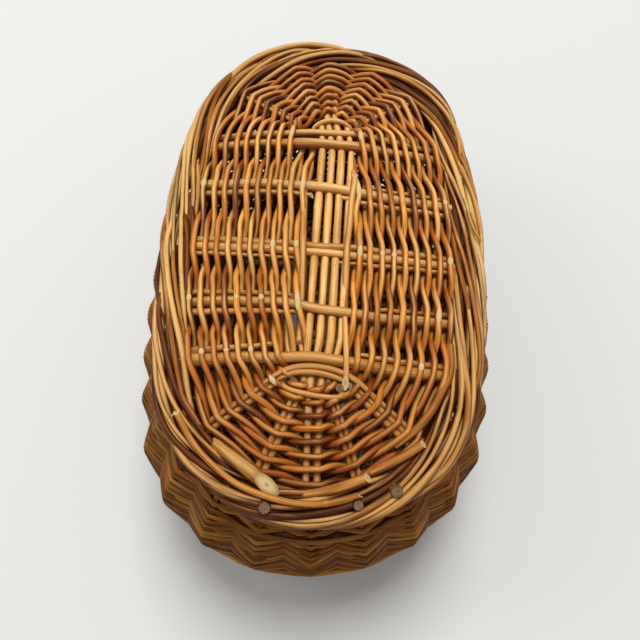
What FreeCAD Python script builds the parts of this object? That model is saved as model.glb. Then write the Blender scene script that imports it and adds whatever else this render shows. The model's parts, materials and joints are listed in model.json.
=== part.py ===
import FreeCAD, Part
import math
import os
import Sketcher

# A willow fishing creel: a pot-bellied oval basket with a flat woven base, a randed
# wall on upright stakes and a woven lid that turns on a stick held by three willow loops.
# Millimetres, +Z up, +X to the hinge side, +Y along the long side. The origin is the
# middle of the face that the basket stands on.

V = FreeCAD.Vector
UP = V(0, 0, 1)
QUARTER = math.pi / 2

doc = FreeCAD.newDocument("FishingCreel")
sheet = doc.addObject("Spreadsheet::Sheet", "Sizes")

# Driving dimensions
SIZES = {
    # Outline of the lid, seen from above: two side arcs and two end arcs
    "lid_half_width": 118,
    "lid_half_length": 200,
    "lid_end_radius": 110,
    # Height of the rim's top, where the lid meets the basket
    "rim_height": 172,
    # Lid border: two bundles of rods, one inside the other
    "outer_border_radius": 6.5,
    "outer_border_straight": 3,
    "inner_border_radius": 6,
    "inner_border_straight": 2,
    "border_gap": 0.1,
    # Basket rim: one bundle of rods, set in from the lid's edge
    "rim_radius": 6,
    "rim_inset": 6,
    "seam_gap": 0.5,
    # Hinge: a stick under the lid's border, and willow loops round it
    "hinge_stick_radius": 2.5,
    "hinge_inset": 3.5,
    "hinge_length": 90,
    "hinge_fit": 0.05,
    "loop_rod_radius": 1.3,
    "loop_spacing": 34,
    "loop_slot_reach": 4.5,
    "loop_slot_room": 0.6,
    "loop_socket_fit": 0.05,
    # Lid panel: it slopes up from the border to a flat middle
    "panel_rise": 9,
    "panel_run": 75,
    "panel_bend_radius": 60,
    "cross_stick_radius": 4,
    "cross_stick_gap": 0.5,
    "long_stick_radius": 3,
    "long_stick_gap": 0.9,
    "fan_stick_radius": 2.5,
    "bow_stick_radius": 2.6,
    "bow_stick_half_length": 13,
    "bow_stick_gap": 0.3,
    "outer_stick_overhang": 20,
    "inner_fan_start": 29,
    "outer_fan_start": 22,
    "bow_start": 9,
    "side_stick_radius": 2.2,
    "socket_depth": 5,
    "stick_fit": 0.1,
    "touch_gap": 0.05,
    # Weaving rounds of the lid and of the base, above and below the sticks
    "weave_rod_radius": 1.8,
    "weave_pitch": 8.2,
    "weave_edge_gap": 0.2,
    # Basket wall
    "wall_thickness": 8,
    "wall_top_inset": 4,
    "wall_scallop": 5,
    "belly_reach": 14.5,
    "belly_depth": 80,
    "base_inset": 14,
    "foot_height": 10,
    "foot_straight": 4,
    "foot_inset": 11,
    "stake_radius": 2.5,
    "stake_fit": 0.15,
    # Base sticks
    "base_stick_height": 11,
    "base_stick_radius": 3.5,
    "base_cross_radius": 4.4,
    "base_end_gap": 0.3,
}

# Counts
WEAVE_ROUNDS = 8
STAKES = 32
WALL_SPANS = 4
LONG_STICKS = 4
BASE_LONG_STICKS = 5

# Rows of cross sticks: places as shares of the way from the middle to the end arcs' centres,
# and the sticks in each row
LID_ROW_SHARES = (0.962, 0.484, -0.018, -0.544, -1)
LID_ROW_STICKS = (2, 2, 2, 3, 2)
BASE_ROW_SHARES = (0.96, 0.48, 0, -0.48, -0.96)
BASE_ROW_STICKS = (2, 2, 2, 2, 2)

# Directions of the fan sticks, as shares of a quarter turn from the lid's long axis
FAN_TURN_SHARES = {"outer_left": -0.64, "inner_left": -0.25, "inner_right": 0.25, "outer_right": 0.64}

# A corner that turns less than this, in degrees, is straight
LEAST_TURN = 0.01

for row, (alias, number) in enumerate(SIZES.items(), start=1):
    sheet.set("A%d" % row, alias)
    sheet.set("B%d" % row, str(number))
    sheet.setAlias("B%d" % row, alias)
doc.recompute()


class Size:
    """A length with its value and the sheet expression that gives it."""

    def __init__(self, text, value):
        self.text = text
        self.value = value

    def joined(self, sign, other, value):
        text = other.text if isinstance(other, Size) else repr(other)
        return Size("(%s %s %s)" % (self.text, sign, text), value)

    def __add__(self, other):
        return self.joined("+", other, self.value + plain(other))

    def __sub__(self, other):
        return self.joined("-", other, self.value - plain(other))

    def __mul__(self, other):
        return self.joined("*", other, self.value * plain(other))

    def __truediv__(self, other):
        return self.joined("/", other, self.value / plain(other))


def plain(number):
    return number.value if isinstance(number, Size) else number


def size(alias):
    return Size("Sizes.%s" % alias, float(sheet.get(alias)))


def root(square):
    return Size("sqrt(%s)" % square.text, math.sqrt(square.value))


halfWidth = size("lid_half_width")
halfLength = size("lid_half_length")
endRadius = size("lid_end_radius")
rimTop = size("rim_height")
outerRadius = size("outer_border_radius")
innerRadius = size("inner_border_radius")
rimRadius = size("rim_radius")
stickRadius = size("hinge_stick_radius")

# Rim and lid borders in section: the lid rests in the notch over the rim
rimCentreInset = size("rim_inset") + rimRadius
rimCentreHeight = rimTop - rimRadius
borderStep = rimCentreInset - outerRadius
borderReach = outerRadius + rimRadius + size("seam_gap")
outerCentreHeight = rimCentreHeight + root(borderReach * borderReach - borderStep * borderStep)
lidBottom = outerCentreHeight - outerRadius
innerCentreInset = outerRadius * 2 + size("border_gap") + innerRadius
innerCentreHeight = lidBottom + innerRadius
panelInset = innerCentreInset + innerRadius
panelEdgeHeight = innerCentreHeight + size("inner_border_straight") / 2
panelHeight = panelEdgeHeight + size("panel_rise")

# Hinge axis, tangent under the outer border
axisX = halfWidth - size("hinge_inset")
axisStep = outerRadius - size("hinge_inset")
axisReach = outerRadius + stickRadius + size("hinge_fit")
axisHeight = outerCentreHeight - root(axisReach * axisReach - axisStep * axisStep)

# Wall section: an upper and a lower arc that meet upright at the belly
wallThickness = size("wall_thickness")
wallTop = rimTop - rimRadius * 2
wallBottom = size("foot_height")
bellyHeight = rimTop - size("belly_depth")
bellyReach = size("belly_reach")


def bulge_radius(reach, rise):
    """Radius of the arc that is upright at the belly and passes the wall's end."""
    return (reach * reach + rise * rise) / (reach * 2)


upperBulge = bulge_radius(bellyReach + size("wall_top_inset"), wallTop - bellyHeight)
lowerBulge = bulge_radius(bellyReach + size("base_inset"), bellyHeight - wallBottom)


def side_arc(inset):
    """Centre, radius and half turn of the side arcs of the outline at an inset."""
    across = halfWidth.value - endRadius.value
    along = halfLength.value - endRadius.value
    turn = 2 * math.atan2(across, along)
    radius = endRadius.value + along / math.sin(turn)
    return halfWidth.value - radius, radius - inset, turn


def end_centre():
    return halfLength.value - endRadius.value


def half_width_at(y, inset):
    """Half width of the outline at a place along the lid."""
    centre, radius, turn = side_arc(inset)
    if abs(y) <= radius * math.sin(turn):
        return centre + math.sqrt(radius ** 2 - y ** 2)
    return math.sqrt((endRadius.value - inset) ** 2 - (abs(y) - end_centre()) ** 2)


def oval_arcs(inset, height):
    """The eight arcs of an outline, starting on +X and running to +Y."""
    centre, radius, turn = side_arc(inset)
    end = endRadius.value - inset
    far = end_centre()
    half = math.pi
    spans = [
        (centre, 0, radius, 0, turn),
        (0, far, end, turn, QUARTER),
        (0, far, end, QUARTER, half - turn),
        (-centre, 0, radius, half - turn, half),
        (-centre, 0, radius, half, half + turn),
        (0, -far, end, half + turn, half + QUARTER),
        (0, -far, end, half + QUARTER, 2 * half - turn),
        (centre, 0, radius, 2 * half - turn, 2 * half),
    ]
    return [Part.ArcOfCircle(Part.Circle(V(x, y, height), UP, r), a, b) for x, y, r, a, b in spans]


def oval_wire(inset, height):
    return Part.Wire([arc.toShape() for arc in oval_arcs(inset, height)])


def outline_place(share):
    """Point and outward normal of the lid's outline at a share of its length round."""
    centre, radius, turn = side_arc(0)
    end = endRadius.value
    far = end_centre()
    side = radius * turn
    bend = end * (QUARTER - turn)
    quarter = side + bend
    along = (share % 1) * 4 * quarter
    number = int(along // quarter)
    rest = along - number * quarter
    if number % 2:
        rest = quarter - rest
    if rest <= side:
        angle = rest / radius
        point = V(centre + radius * math.cos(angle), radius * math.sin(angle), 0)
    else:
        angle = turn + (rest - side) / end
        point = V(end * math.cos(angle), far + end * math.sin(angle), 0)
    normal = V(math.cos(angle), math.sin(angle), 0)
    flipX = -1 if number in (1, 2) else 1
    flipY = -1 if number in (2, 3) else 1
    return V(point.x * flipX, point.y * flipY, 0), V(normal.x * flipX, normal.y * flipY, 0)


# Sketches and swept rings

def origin_plane(body, role):
    return [feature for feature in body.Origin.OriginFeatures if feature.Role == role][0]


def new_sketch(body, name, role):
    sketch = body.newObject("Sketcher::SketchObject", name)
    sketch.AttachmentSupport = (origin_plane(body, role), [""])
    sketch.MapMode = "FlatFace"
    return sketch


def bind(sketch, name, kind, *places, length):
    """A length constraint of a sketch, tied to the sheet."""
    index = sketch.addConstraint(Sketcher.Constraint(kind, *places, length.value))
    sketch.renameConstraint(index, name)
    sketch.setExpression("Constraints.%s" % name, length.text)


def oval_path(body, name, inset, height):
    """Closed path at an inset from the lid's outline, at a height."""
    sketch = new_sketch(body, name, "XY_Plane")
    sketch.AttachmentOffset = FreeCAD.Placement(V(0, 0, height.value), FreeCAD.Rotation())
    sketch.setExpression("AttachmentOffset.Base.z", height.text)
    arcs = oval_arcs(inset.value, 0)
    sketch.addGeometry(arcs, False)
    for index in range(len(arcs)):
        sketch.addConstraint(Sketcher.Constraint("Tangent", index, 2, (index + 1) % len(arcs), 1))
    for index, axis in ((0, -1), (2, -2), (4, -1), (6, -2)):
        sketch.addConstraint(Sketcher.Constraint("PointOnObject", index, 1, axis))
        sketch.addConstraint(Sketcher.Constraint("PointOnObject", index, 3, axis))
    sketch.addConstraint(Sketcher.Constraint("Equal", 1, 2))
    sketch.addConstraint(Sketcher.Constraint("Equal", 5, 6))
    bind(sketch, "right", "DistanceX", -1, 1, 0, 1, length=halfWidth - inset)
    bind(sketch, "left", "DistanceX", 4, 1, -1, 1, length=halfWidth - inset)
    bind(sketch, "back", "DistanceY", -1, 1, 2, 1, length=halfLength - inset)
    bind(sketch, "front", "DistanceY", 6, 1, -1, 1, length=halfLength - inset)
    bind(sketch, "back_radius", "Radius", 1, length=endRadius - inset)
    bind(sketch, "front_radius", "Radius", 5, length=endRadius - inset)
    return sketch


def slot_section(body, name, inset, height, radius, straight, upright):
    """Section of a rod bundle: two half circles joined by straight sides."""
    sketch = new_sketch(body, name, "XZ_Plane")
    shift = straight / 2
    x = halfWidth - inset
    lowX = x if upright else x - shift
    highX = x if upright else x + shift
    lowZ = height - shift if upright else height
    highZ = height + shift if upright else height
    low = V(lowX.value, lowZ.value, 0)
    high = V(highX.value, highZ.value, 0)
    side = V(radius.value, 0, 0) if upright else V(0, -radius.value, 0)
    start = 0 if upright else -QUARTER
    sketch.addGeometry([
        Part.ArcOfCircle(Part.Circle(high, UP, radius.value), start, start + math.pi),
        Part.LineSegment(high - side, low - side),
        Part.ArcOfCircle(Part.Circle(low, UP, radius.value), start + math.pi, start + 2 * math.pi),
        Part.LineSegment(low + side, high + side),
    ], False)
    for index in range(4):
        sketch.addConstraint(Sketcher.Constraint("Tangent", index, 2, (index + 1) % 4, 1))
    for index in (1, 3):
        sketch.addConstraint(Sketcher.Constraint("Vertical" if upright else "Horizontal", index))
    bind(sketch, "bundle_radius", "Radius", 0, length=radius)
    bind(sketch, "place_x", "DistanceX", -1, 1, 2, 3, length=lowX)
    bind(sketch, "place_z", "DistanceY", -1, 1, 2, 3, length=lowZ)
    bind(sketch, "straight_side", "DistanceY" if upright else "DistanceX", 2, 3, 0, 3, length=straight)
    return sketch


def round_section(body, name, inset, height, radius):
    sketch = new_sketch(body, name, "XZ_Plane")
    centre = V((halfWidth - inset).value, height.value, 0)
    sketch.addGeometry([Part.Circle(centre, UP, radius.value)], False)
    bind(sketch, "bundle_radius", "Radius", 0, length=radius)
    bind(sketch, "place_x", "DistanceX", -1, 1, 0, 3, length=halfWidth - inset)
    bind(sketch, "place_z", "DistanceY", -1, 1, 0, 3, length=height)
    return sketch


def wall_section(body, name, bulge, depth, thickness, endHeight):
    """Section of one skin of the wall, from the belly to its end: an arc outside and one inside."""
    sketch = new_sketch(body, name, "XZ_Plane")
    upward = endHeight.value > bellyHeight.value
    belly = halfWidth + bellyReach
    centre = V((belly - bulge).value, bellyHeight.value, 0)
    rise = abs(endHeight.value - bellyHeight.value)
    curves = []
    for reach in ((bulge - depth).value, (bulge - depth - thickness).value):
        turn = math.asin(rise / reach)
        span = (0, turn) if upward else (-turn, 0)
        curves.append(Part.ArcOfCircle(Part.Circle(centre, UP, reach), *span))
    waist, end = (1, 2) if upward else (2, 1)
    places = [{1: curve.value(curve.FirstParameter), 2: curve.value(curve.LastParameter)} for curve in curves]
    flats = [Part.LineSegment(places[0][point], places[1][point]) for point in (waist, end)]
    sketch.addGeometry(curves + flats, False)
    for pair in ((0, waist, 2, 1), (1, waist, 2, 2), (0, end, 3, 1), (1, end, 3, 2), (0, 3, 1, 3)):
        sketch.addConstraint(Sketcher.Constraint("Coincident", *pair))
    for index in (2, 3):
        sketch.addConstraint(Sketcher.Constraint("Horizontal", index))
    bind(sketch, "centre_x", "DistanceX", -1, 1, 0, 3, length=belly - bulge)
    bind(sketch, "centre_z", "DistanceY", -1, 1, 0, 3, length=bellyHeight)
    bind(sketch, "belly_x", "DistanceX", -1, 1, 0, waist, length=belly - depth)
    bind(sketch, "belly_z", "DistanceY", -1, 1, 0, waist, length=bellyHeight)
    bind(sketch, "inner_belly_x", "DistanceX", -1, 1, 1, waist, length=belly - depth - thickness)
    bind(sketch, "end_z", "DistanceY", -1, 1, 0, end, length=endHeight)
    return sketch


def swept_ring(label, path, section):
    body = doc.addObject("PartDesign::Body", label)
    spine = path(body, label + "_path")
    profile = section(body, label + "_section")
    doc.recompute()
    pipe = body.newObject("PartDesign::AdditivePipe", label + "_sweep")
    pipe.Profile = profile
    pipe.Spine = (spine, [])
    pipe.Mode = "Frenet"
    doc.recompute()
    return body


def bundle_ring(label, inset, height, radius, straight, upright=True):
    return swept_ring(
        label,
        lambda body, name: oval_path(body, name, inset, height),
        lambda body, name: slot_section(body, name, inset, height, radius, straight, upright))


# Rods bent along straight runs and arcs

def rod(points, radius, bend=None):
    """A round rod through points, with an arc at each inner point."""
    edges = []
    last = points[0]
    for before, corner, after in zip(points, points[1:], points[2:]):
        inward = (before - corner).normalize()
        onward = (after - corner).normalize()
        turn = math.pi - inward.getAngle(onward)
        if turn < math.radians(LEAST_TURN):
            continue
        reach = bend * math.tan(turn / 2)
        middle = (inward + onward).normalize()
        depth = bend / math.cos(turn / 2) - bend
        first = corner + inward * reach
        second = corner + onward * reach
        edges.append(Part.LineSegment(last, first).toShape())
        edges.append(Part.Arc(first, corner + middle * depth, second).toShape())
        last = second
    edges.append(Part.LineSegment(last, points[-1]).toShape())
    if len(edges) == 1:
        return Part.makeCylinder(radius, (points[-1] - points[0]).Length, points[0], points[-1] - points[0])
    circle = Part.Wire(Part.makeCircle(radius, points[0], points[1] - points[0]))
    return Part.Wire(edges).makePipeShell([circle], True, False)


def add_shape(label, shape):
    feature = doc.addObject("Part::Feature", label)
    feature.Shape = shape
    feature.Placement = FreeCAD.Placement(V(0, 0, 0), FreeCAD.Rotation())
    return feature


def add_cut(label, base, tool):
    cut = doc.addObject("Part::Cut", label)
    cut.Base = base
    cut.Tool = tool
    return cut


# Panels: rows of cross sticks, long sticks that pierce them, and fans at the ends

class Panel:
    """Heights and reach of a woven panel, the lid's or the base's."""

    def __init__(self, edgeHeight, rise, endInset):
        self.edgeHeight = edgeHeight
        self.rise = rise
        self.run = size("panel_run").value
        self.endInset = endInset
        self.bend = size("panel_bend_radius").value

    def height(self, inset):
        slope = min((inset - panelInset.value) / self.run, 1)
        return self.edgeHeight + self.rise * slope

    def slope(self):
        return math.atan2(self.rise, self.run)

    def cross_points(self, y, overrun):
        """Path of a stick from side to side."""
        inset = self.endInset - overrun
        end = half_width_at(y, inset)
        knee = half_width_at(y, panelInset.value) - self.run
        low = self.height(inset)
        high = self.height(panelInset.value + self.run)
        return [V(-end, y, low), V(-knee, y, high), V(knee, y, high), V(end, y, low)]

    def long_points(self, x, overrun):
        """Path of a stick from end to end."""
        inset = self.endInset - overrun
        across = x / (endRadius.value - inset)
        end = end_centre() + (endRadius.value - inset) * math.sqrt(1 - across ** 2)
        knee = halfLength.value - panelInset.value - self.run
        low = self.height(inset)
        high = self.height(panelInset.value + self.run)
        return [V(x, -end, low), V(x, -knee, high), V(x, knee, high), V(x, end, low)]

    def fan_points(self, turnShare, start, endSign, overrun):
        """Path of a stick that fans out from the middle of an end arc."""
        angle = turnShare * QUARTER
        direction = V(math.sin(angle), endSign * math.cos(angle), 0)
        centre = V(0, endSign * end_centre(), 0)
        inset = self.endInset - overrun
        reach = endRadius.value - inset
        first = centre + direction * start + UP * self.height(endRadius.value - start)
        return [first, centre + direction * reach + UP * self.height(inset)]


def spread(count, pitch):
    """Places of equal sticks side by side, about zero."""
    return [(number - (count - 1) / 2) * pitch for number in range(count)]


def weaving_rounds(panel, side, sticks):
    """Closed rounds of rod above (side 1) or below (side -1) the sticks."""
    radius = size("weave_rod_radius").value
    reach = (sticks + radius + size("touch_gap").value) / math.cos(panel.slope())
    first = panelInset.value + radius + size("weave_edge_gap").value
    rings = []
    for number in range(WEAVE_ROUNDS):
        inset = first + number * size("weave_pitch").value
        height = panel.height(inset) + side * reach
        start = V(halfWidth.value - inset, 0, height)
        circle = Part.Wire(Part.makeCircle(radius, start, V(0, 1, 0)))
        rings.append(oval_wire(inset, height).makePipeShell([circle], True, False))
    return Part.makeCompound(rings)


nodes = []

# Foot, wall, stakes and rim of the basket
footRadius = size("foot_height") / 2
footCentreInset = size("foot_inset") + footRadius + size("foot_straight") / 2
nodes.append(bundle_ring("foot_border", footCentreInset, footRadius, footRadius,
                         size("foot_straight"), upright=False))


def wall_skin(label, bulge, endInset, endHeight, depth, thickness):
    return swept_ring(
        label,
        lambda body, name: oval_path(body, name, endInset, endHeight),
        lambda body, name: wall_section(body, name, bulge, depth, thickness, endHeight))


def scalloped_wire(inset, height):
    """Outline of the rods outside the stakes: an arc over each stake, meeting midway between them."""
    recess = inset + size("wall_scallop").value
    edges = []
    for number in range(STAKES):
        places = [outline_place((number + step) / STAKES) for step in (-0.5, 0, 0.5)]
        points = [point - outward * depth + UP * height
                  for (point, outward), depth in zip(places, (recess, inset, recess))]
        edges.append(Part.Arc(*points).toShape())
    return Part.Wire(edges)


def scalloped_skin(label, bulge, endHeight, thickness):
    """Skin of the rods outside the stakes, lofted from the belly to its end."""
    rise = (endHeight - bellyHeight).value
    solids = []
    for reach in (bulge.value, (bulge - thickness).value):
        wires = []
        for number in range(WALL_SPANS + 1):
            climb = rise * number / WALL_SPANS
            inset = (bulge - bellyReach).value - math.sqrt(reach ** 2 - climb ** 2)
            wires.append(scalloped_wire(inset, bellyHeight.value + climb))
        solids.append(Part.makeLoft(wires, True, False))
    return add_shape(label, solids[0].cut(solids[1]))


# The randed rods pass before and behind the stakes: a scalloped skin of them outside, another inside
stakeRadius = size("stake_radius")
skinThickness = wallThickness / 2 - stakeRadius - size("stake_fit")
wallEnds = {
    "lower": (lowerBulge, size("base_inset"), wallBottom),
    "upper": (upperBulge, size("wall_top_inset"), wallTop),
}
for part, (bulge, endInset, endHeight) in wallEnds.items():
    nodes.append(scalloped_skin("wall_outer_" + part, bulge, endHeight, skinThickness))
    nodes.append(wall_skin("wall_inner_" + part, bulge, endInset, endHeight,
                           wallThickness - skinThickness, skinThickness))


def stake_rods():
    """Upright rods in the middle of the wall's thickness, bent to its bulge."""
    half = wallThickness.value / 2
    radius = stakeRadius.value
    upper = upperBulge.value - half
    lower = lowerBulge.value - half
    topTurn = math.asin((wallTop - bellyHeight).value / upper) - radius / upper
    bottomTurn = math.asin((bellyHeight - wallBottom).value / lower) - radius / lower
    rods = []
    for number in range(STAKES):
        point, outward = outline_place(number / STAKES)
        belly = point + UP * bellyHeight.value
        upperCentre = belly + outward * (bellyReach.value - upperBulge.value)
        lowerCentre = belly + outward * (bellyReach.value - lowerBulge.value)

        def on_arc(centre, reach, angle):
            return centre + outward * (reach * math.cos(angle)) + UP * (reach * math.sin(angle))

        start = on_arc(lowerCentre, lower, -bottomTurn)
        knee = on_arc(lowerCentre, lower, 0)
        end = on_arc(upperCentre, upper, topTurn)
        path = Part.Wire([
            Part.Arc(start, on_arc(lowerCentre, lower, -bottomTurn / 2), knee).toShape(),
            Part.Arc(knee, on_arc(upperCentre, upper, topTurn / 2), end).toShape(),
        ])
        along = outward * math.sin(bottomTurn) + UP * math.cos(bottomTurn)
        circle = Part.Wire(Part.makeCircle(radius, start, along))
        rods.append(path.makePipeShell([circle], True, False))
    return Part.makeCompound(rods)


nodes.append(add_shape("stakes", stake_rods()))

rimPlain = swept_ring(
    "rim_plain",
    lambda body, name: oval_path(body, name, rimCentreInset, rimCentreHeight),
    lambda body, name: round_section(body, name, rimCentreInset, rimCentreHeight, rimRadius))

# Hinge: the lid's stick, and loops whose two legs are driven into the rim
axisPoint = V(axisX.value, 0, axisHeight.value)
rimPoint = V((halfWidth - rimCentreInset).value, 0, rimCentreHeight.value)
loopRadius = size("loop_rod_radius").value
loopBend = stickRadius.value + size("hinge_fit").value + loopRadius
loopNames = ("hinge_loop_front", "hinge_loop_middle", "hinge_loop_back")


def hinge_loop(y, radius, overrun):
    """A rod bent round the hinge stick, with its legs aimed at the rim's middle."""
    centre = axisPoint + V(0, y, 0)
    along = rimPoint - axisPoint
    legLength = along.Length + overrun
    along.normalize()
    across = V(-along.z, 0, along.x)
    first = centre + across * loopBend
    second = centre - across * loopBend
    path = Part.Wire([
        Part.LineSegment(first + along * legLength, first).toShape(),
        Part.Arc(first, centre - along * loopBend, second).toShape(),
        Part.LineSegment(second, second + along * legLength).toShape(),
    ])
    circle = Part.Wire(Part.makeCircle(radius, first + along * legLength, along))
    return path.makePipeShell([circle], True, False)


loopPlaces = spread(len(loopNames), size("loop_spacing").value)
socketFit = size("loop_socket_fit").value
loopSockets = add_shape("loop_sockets", Part.makeCompound(
    [hinge_loop(y, loopRadius + socketFit, socketFit) for y in loopPlaces]))
nodes.append(add_cut("rim_border", rimPlain, loopSockets))
for name, y in zip(loopNames, loopPlaces):
    nodes.append(add_shape(name, hinge_loop(y, loopRadius, 0)))

hingeStick = doc.addObject("Part::Cylinder", "hinge_stick")
hingeStick.setExpression("Radius", stickRadius.text)
hingeStick.setExpression("Height", size("hinge_length").text)
hingeStick.Placement = FreeCAD.Placement(V(0, 0, 0), FreeCAD.Rotation(V(1, 0, 0), -90))
hingeStick.setExpression("Placement.Base.x", axisX.text)
hingeStick.setExpression("Placement.Base.y", "-%s / 2" % size("hinge_length").text)
hingeStick.setExpression("Placement.Base.z", axisHeight.text)
nodes.append(hingeStick)

# Lid border: the outer bundle has a slot round each loop, the inner one takes the sticks
outerMiddle = outerCentreHeight + size("outer_border_straight") / 2
outerPlain = bundle_ring("outer_border_plain", outerRadius, outerMiddle, outerRadius,
                         size("outer_border_straight"))
slotRadius = size("loop_slot_reach") + stickRadius + size("hinge_fit") + size("loop_rod_radius")
slotWidth = size("loop_rod_radius") * 2 + size("loop_slot_room") * 2
slots = []
for number, y in enumerate(loopPlaces):
    slot = doc.addObject("Part::Cylinder", "loop_slot_%d" % (number + 1))
    slot.setExpression("Radius", slotRadius.text)
    slot.setExpression("Height", slotWidth.text)
    slot.Placement = FreeCAD.Placement(V(0, 0, 0), FreeCAD.Rotation(V(1, 0, 0), -90))
    slot.setExpression("Placement.Base.x", axisX.text)
    place = size("loop_spacing") * (number - (len(loopNames) - 1) / 2) - slotWidth / 2
    slot.setExpression("Placement.Base.y", place.text)
    slot.setExpression("Placement.Base.z", axisHeight.text)
    slots.append(slot)
slotTool = doc.addObject("Part::Compound", "loop_slots")
slotTool.Links = slots
nodes.append(add_cut("lid_border_outer", outerPlain, slotTool))

innerPlain = bundle_ring("inner_border_plain", innerCentreInset, panelEdgeHeight, innerRadius,
                         size("inner_border_straight"))

lidPanel = Panel(panelEdgeHeight.value, size("panel_rise").value,
                 panelInset.value - size("socket_depth").value)
crossRadius = size("cross_stick_radius").value
longRadius = size("long_stick_radius").value
fanRadius = size("fan_stick_radius").value
fit = size("stick_fit").value
crossPitch = 2 * crossRadius + size("cross_stick_gap").value
longPitch = 2 * longRadius + size("long_stick_gap").value
longPlaces = spread(LONG_STICKS, longPitch)


def lid_long_stick(x, radius, overrun):
    """The middle sticks run into the border, the outer ones end on the fans."""
    if abs(x) < longPitch:
        return rod(lidPanel.long_points(x, overrun), radius, lidPanel.bend)
    end = end_centre() + size("outer_stick_overhang").value
    level = lidPanel.height(endRadius.value)
    return rod([V(x, -end - overrun, level), V(x, end + overrun, level)], radius)


def fan_start(name):
    return size("inner_fan_start").value if name.startswith("inner") else size("outer_fan_start").value


longTools = Part.makeCompound([lid_long_stick(x, longRadius + fit, fit) for x in longPlaces])
socketTools = [lid_long_stick(x, longRadius + fit, fit) for x in longPlaces if abs(x) < longPitch]

for number, (share, count) in enumerate(zip(LID_ROW_SHARES, LID_ROW_STICKS), start=1):
    places = [share * end_centre() + step for step in spread(count, crossPitch)]
    row = Part.makeCompound([rod(lidPanel.cross_points(y, 0), crossRadius, lidPanel.bend) for y in places])
    socketTools += [rod(lidPanel.cross_points(y, fit), crossRadius + fit, lidPanel.bend) for y in places]
    nodes.append(add_shape("lid_cross_sticks_%d" % number, row.cut(longTools)))

for number, x in enumerate(longPlaces, start=1):
    nodes.append(add_shape("lid_long_stick_%d" % number, lid_long_stick(x, longRadius, 0)))

for end, endSign in (("front", -1), ("back", 1)):
    for name, share in FAN_TURN_SHARES.items():
        start = fan_start(name)
        points = lidPanel.fan_points(share, start, endSign, 0)
        nodes.append(add_shape("lid_fan_stick_%s_%s" % (end, name), rod(points, fanRadius)))
        socketTools.append(rod(lidPanel.fan_points(share, start, endSign, fit), fanRadius + fit))

socketTool = add_shape("stick_sockets", Part.makeCompound(socketTools))
nodes.append(add_cut("lid_border_inner", innerPlain, socketTool))

# Bow sticks lie across the long sticks at each end of the open middle
bowRadius = size("bow_stick_radius").value
bowPitch = 2 * bowRadius + size("bow_stick_gap").value
bowLevel = lidPanel.height(endRadius.value) + longRadius + bowRadius + size("touch_gap").value
for end, endSign in (("front", -1), ("back", 1)):
    rods = []
    for number in range(2):
        y = endSign * (end_centre() + size("bow_start").value + number * bowPitch)
        reach = size("bow_stick_half_length").value
        rods.append(rod([V(-reach, y, bowLevel), V(reach, y, bowLevel)], bowRadius))
    nodes.append(add_shape("lid_bow_sticks_%s" % end, Part.makeCompound(rods)))

# A thinner stick beside the long ones on each side, laid across the rows from the second to the fourth
sideRadius = size("side_stick_radius").value
sideLength = (LID_ROW_SHARES[1] - LID_ROW_SHARES[3]) * end_centre() + LID_ROW_STICKS[3] * crossPitch
sideLevel = panelHeight.value + crossRadius + sideRadius + size("touch_gap").value
sideX = (LONG_STICKS / 2) * longPitch
for name, side, end in (("left", -1, 1), ("right", 1, -1)):
    middle = end * size("weave_pitch").value
    ends = [V(side * sideX, middle + step, sideLevel) for step in (-sideLength / 2, sideLength / 2)]
    nodes.append(add_shape("lid_side_stick_%s" % name, rod(ends, sideRadius)))

nodes.append(add_shape("lid_weave_upper", weaving_rounds(lidPanel, 1, crossRadius)))
nodes.append(add_shape("lid_weave_lower", weaving_rounds(lidPanel, -1, crossRadius)))

# Base: the same pattern, flat, inside the foot border
basePanel = Panel(size("base_stick_height").value, 0, panelInset.value + size("base_end_gap").value)
baseRadius = size("base_stick_radius").value
baseCross = size("base_cross_radius").value
basePitch = 2 * baseRadius + size("long_stick_gap").value
baseCrossPitch = 2 * baseCross + size("cross_stick_gap").value
basePlaces = spread(BASE_LONG_STICKS, basePitch)


def base_long_stick(x, radius):
    end = end_centre() + math.sqrt((endRadius.value - basePanel.endInset) ** 2 - x ** 2)
    if abs(x) > baseRadius:
        end = end_centre() + size("outer_fan_start").value
    level = basePanel.edgeHeight
    return rod([V(x, -end, level), V(x, end, level)], radius)


baseTools = Part.makeCompound([base_long_stick(x, baseRadius + fit) for x in basePlaces])
baseCrosses = []
for share, count in zip(BASE_ROW_SHARES, BASE_ROW_STICKS):
    for step in spread(count, baseCrossPitch):
        points = basePanel.cross_points(share * end_centre() + step, 0)
        baseCrosses.append(rod([points[0], points[-1]], baseCross))
nodes.append(add_shape("base_cross_sticks", Part.makeCompound(baseCrosses).cut(baseTools)))
nodes.append(add_shape("base_long_sticks", Part.makeCompound(
    [base_long_stick(x, baseRadius) for x in basePlaces])))
baseFanStart = size("inner_fan_start").value
fans = []
for endSign in (-1, 1):
    for share in FAN_TURN_SHARES.values():
        fans.append(rod(basePanel.fan_points(share, baseFanStart, endSign, 0), fanRadius))
nodes.append(add_shape("base_fan_sticks", Part.makeCompound(fans)))
nodes.append(add_shape("base_weave_upper", weaving_rounds(basePanel, 1, baseCross)))
nodes.append(add_shape("base_weave_lower", weaving_rounds(basePanel, -1, baseCross)))

# Checks, then one file for each piece
doc.recompute()
for item in doc.Objects:
    if "Invalid" in item.State or "Error" in item.State:
        raise RuntimeError("%s failed: %s" % (item.Label, item.State))
os.makedirs("parts", exist_ok=True)
for node in nodes:
    shape = node.Shape
    if shape.isNull() or not shape.isValid():
        raise RuntimeError("%s has no valid shape" % node.Label)
    shape.exportStep("parts/%s.step" % node.Label)
    box = shape.BoundBox
    print("%-32s %3d solids %10.0f mm3  z %6.1f to %6.1f" % (
        node.Label, len(shape.Solids), shape.Volume, box.ZMin, box.ZMax))
print("hinge axis x %.3f z %.3f" % (axisX.value, axisHeight.value))
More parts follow.
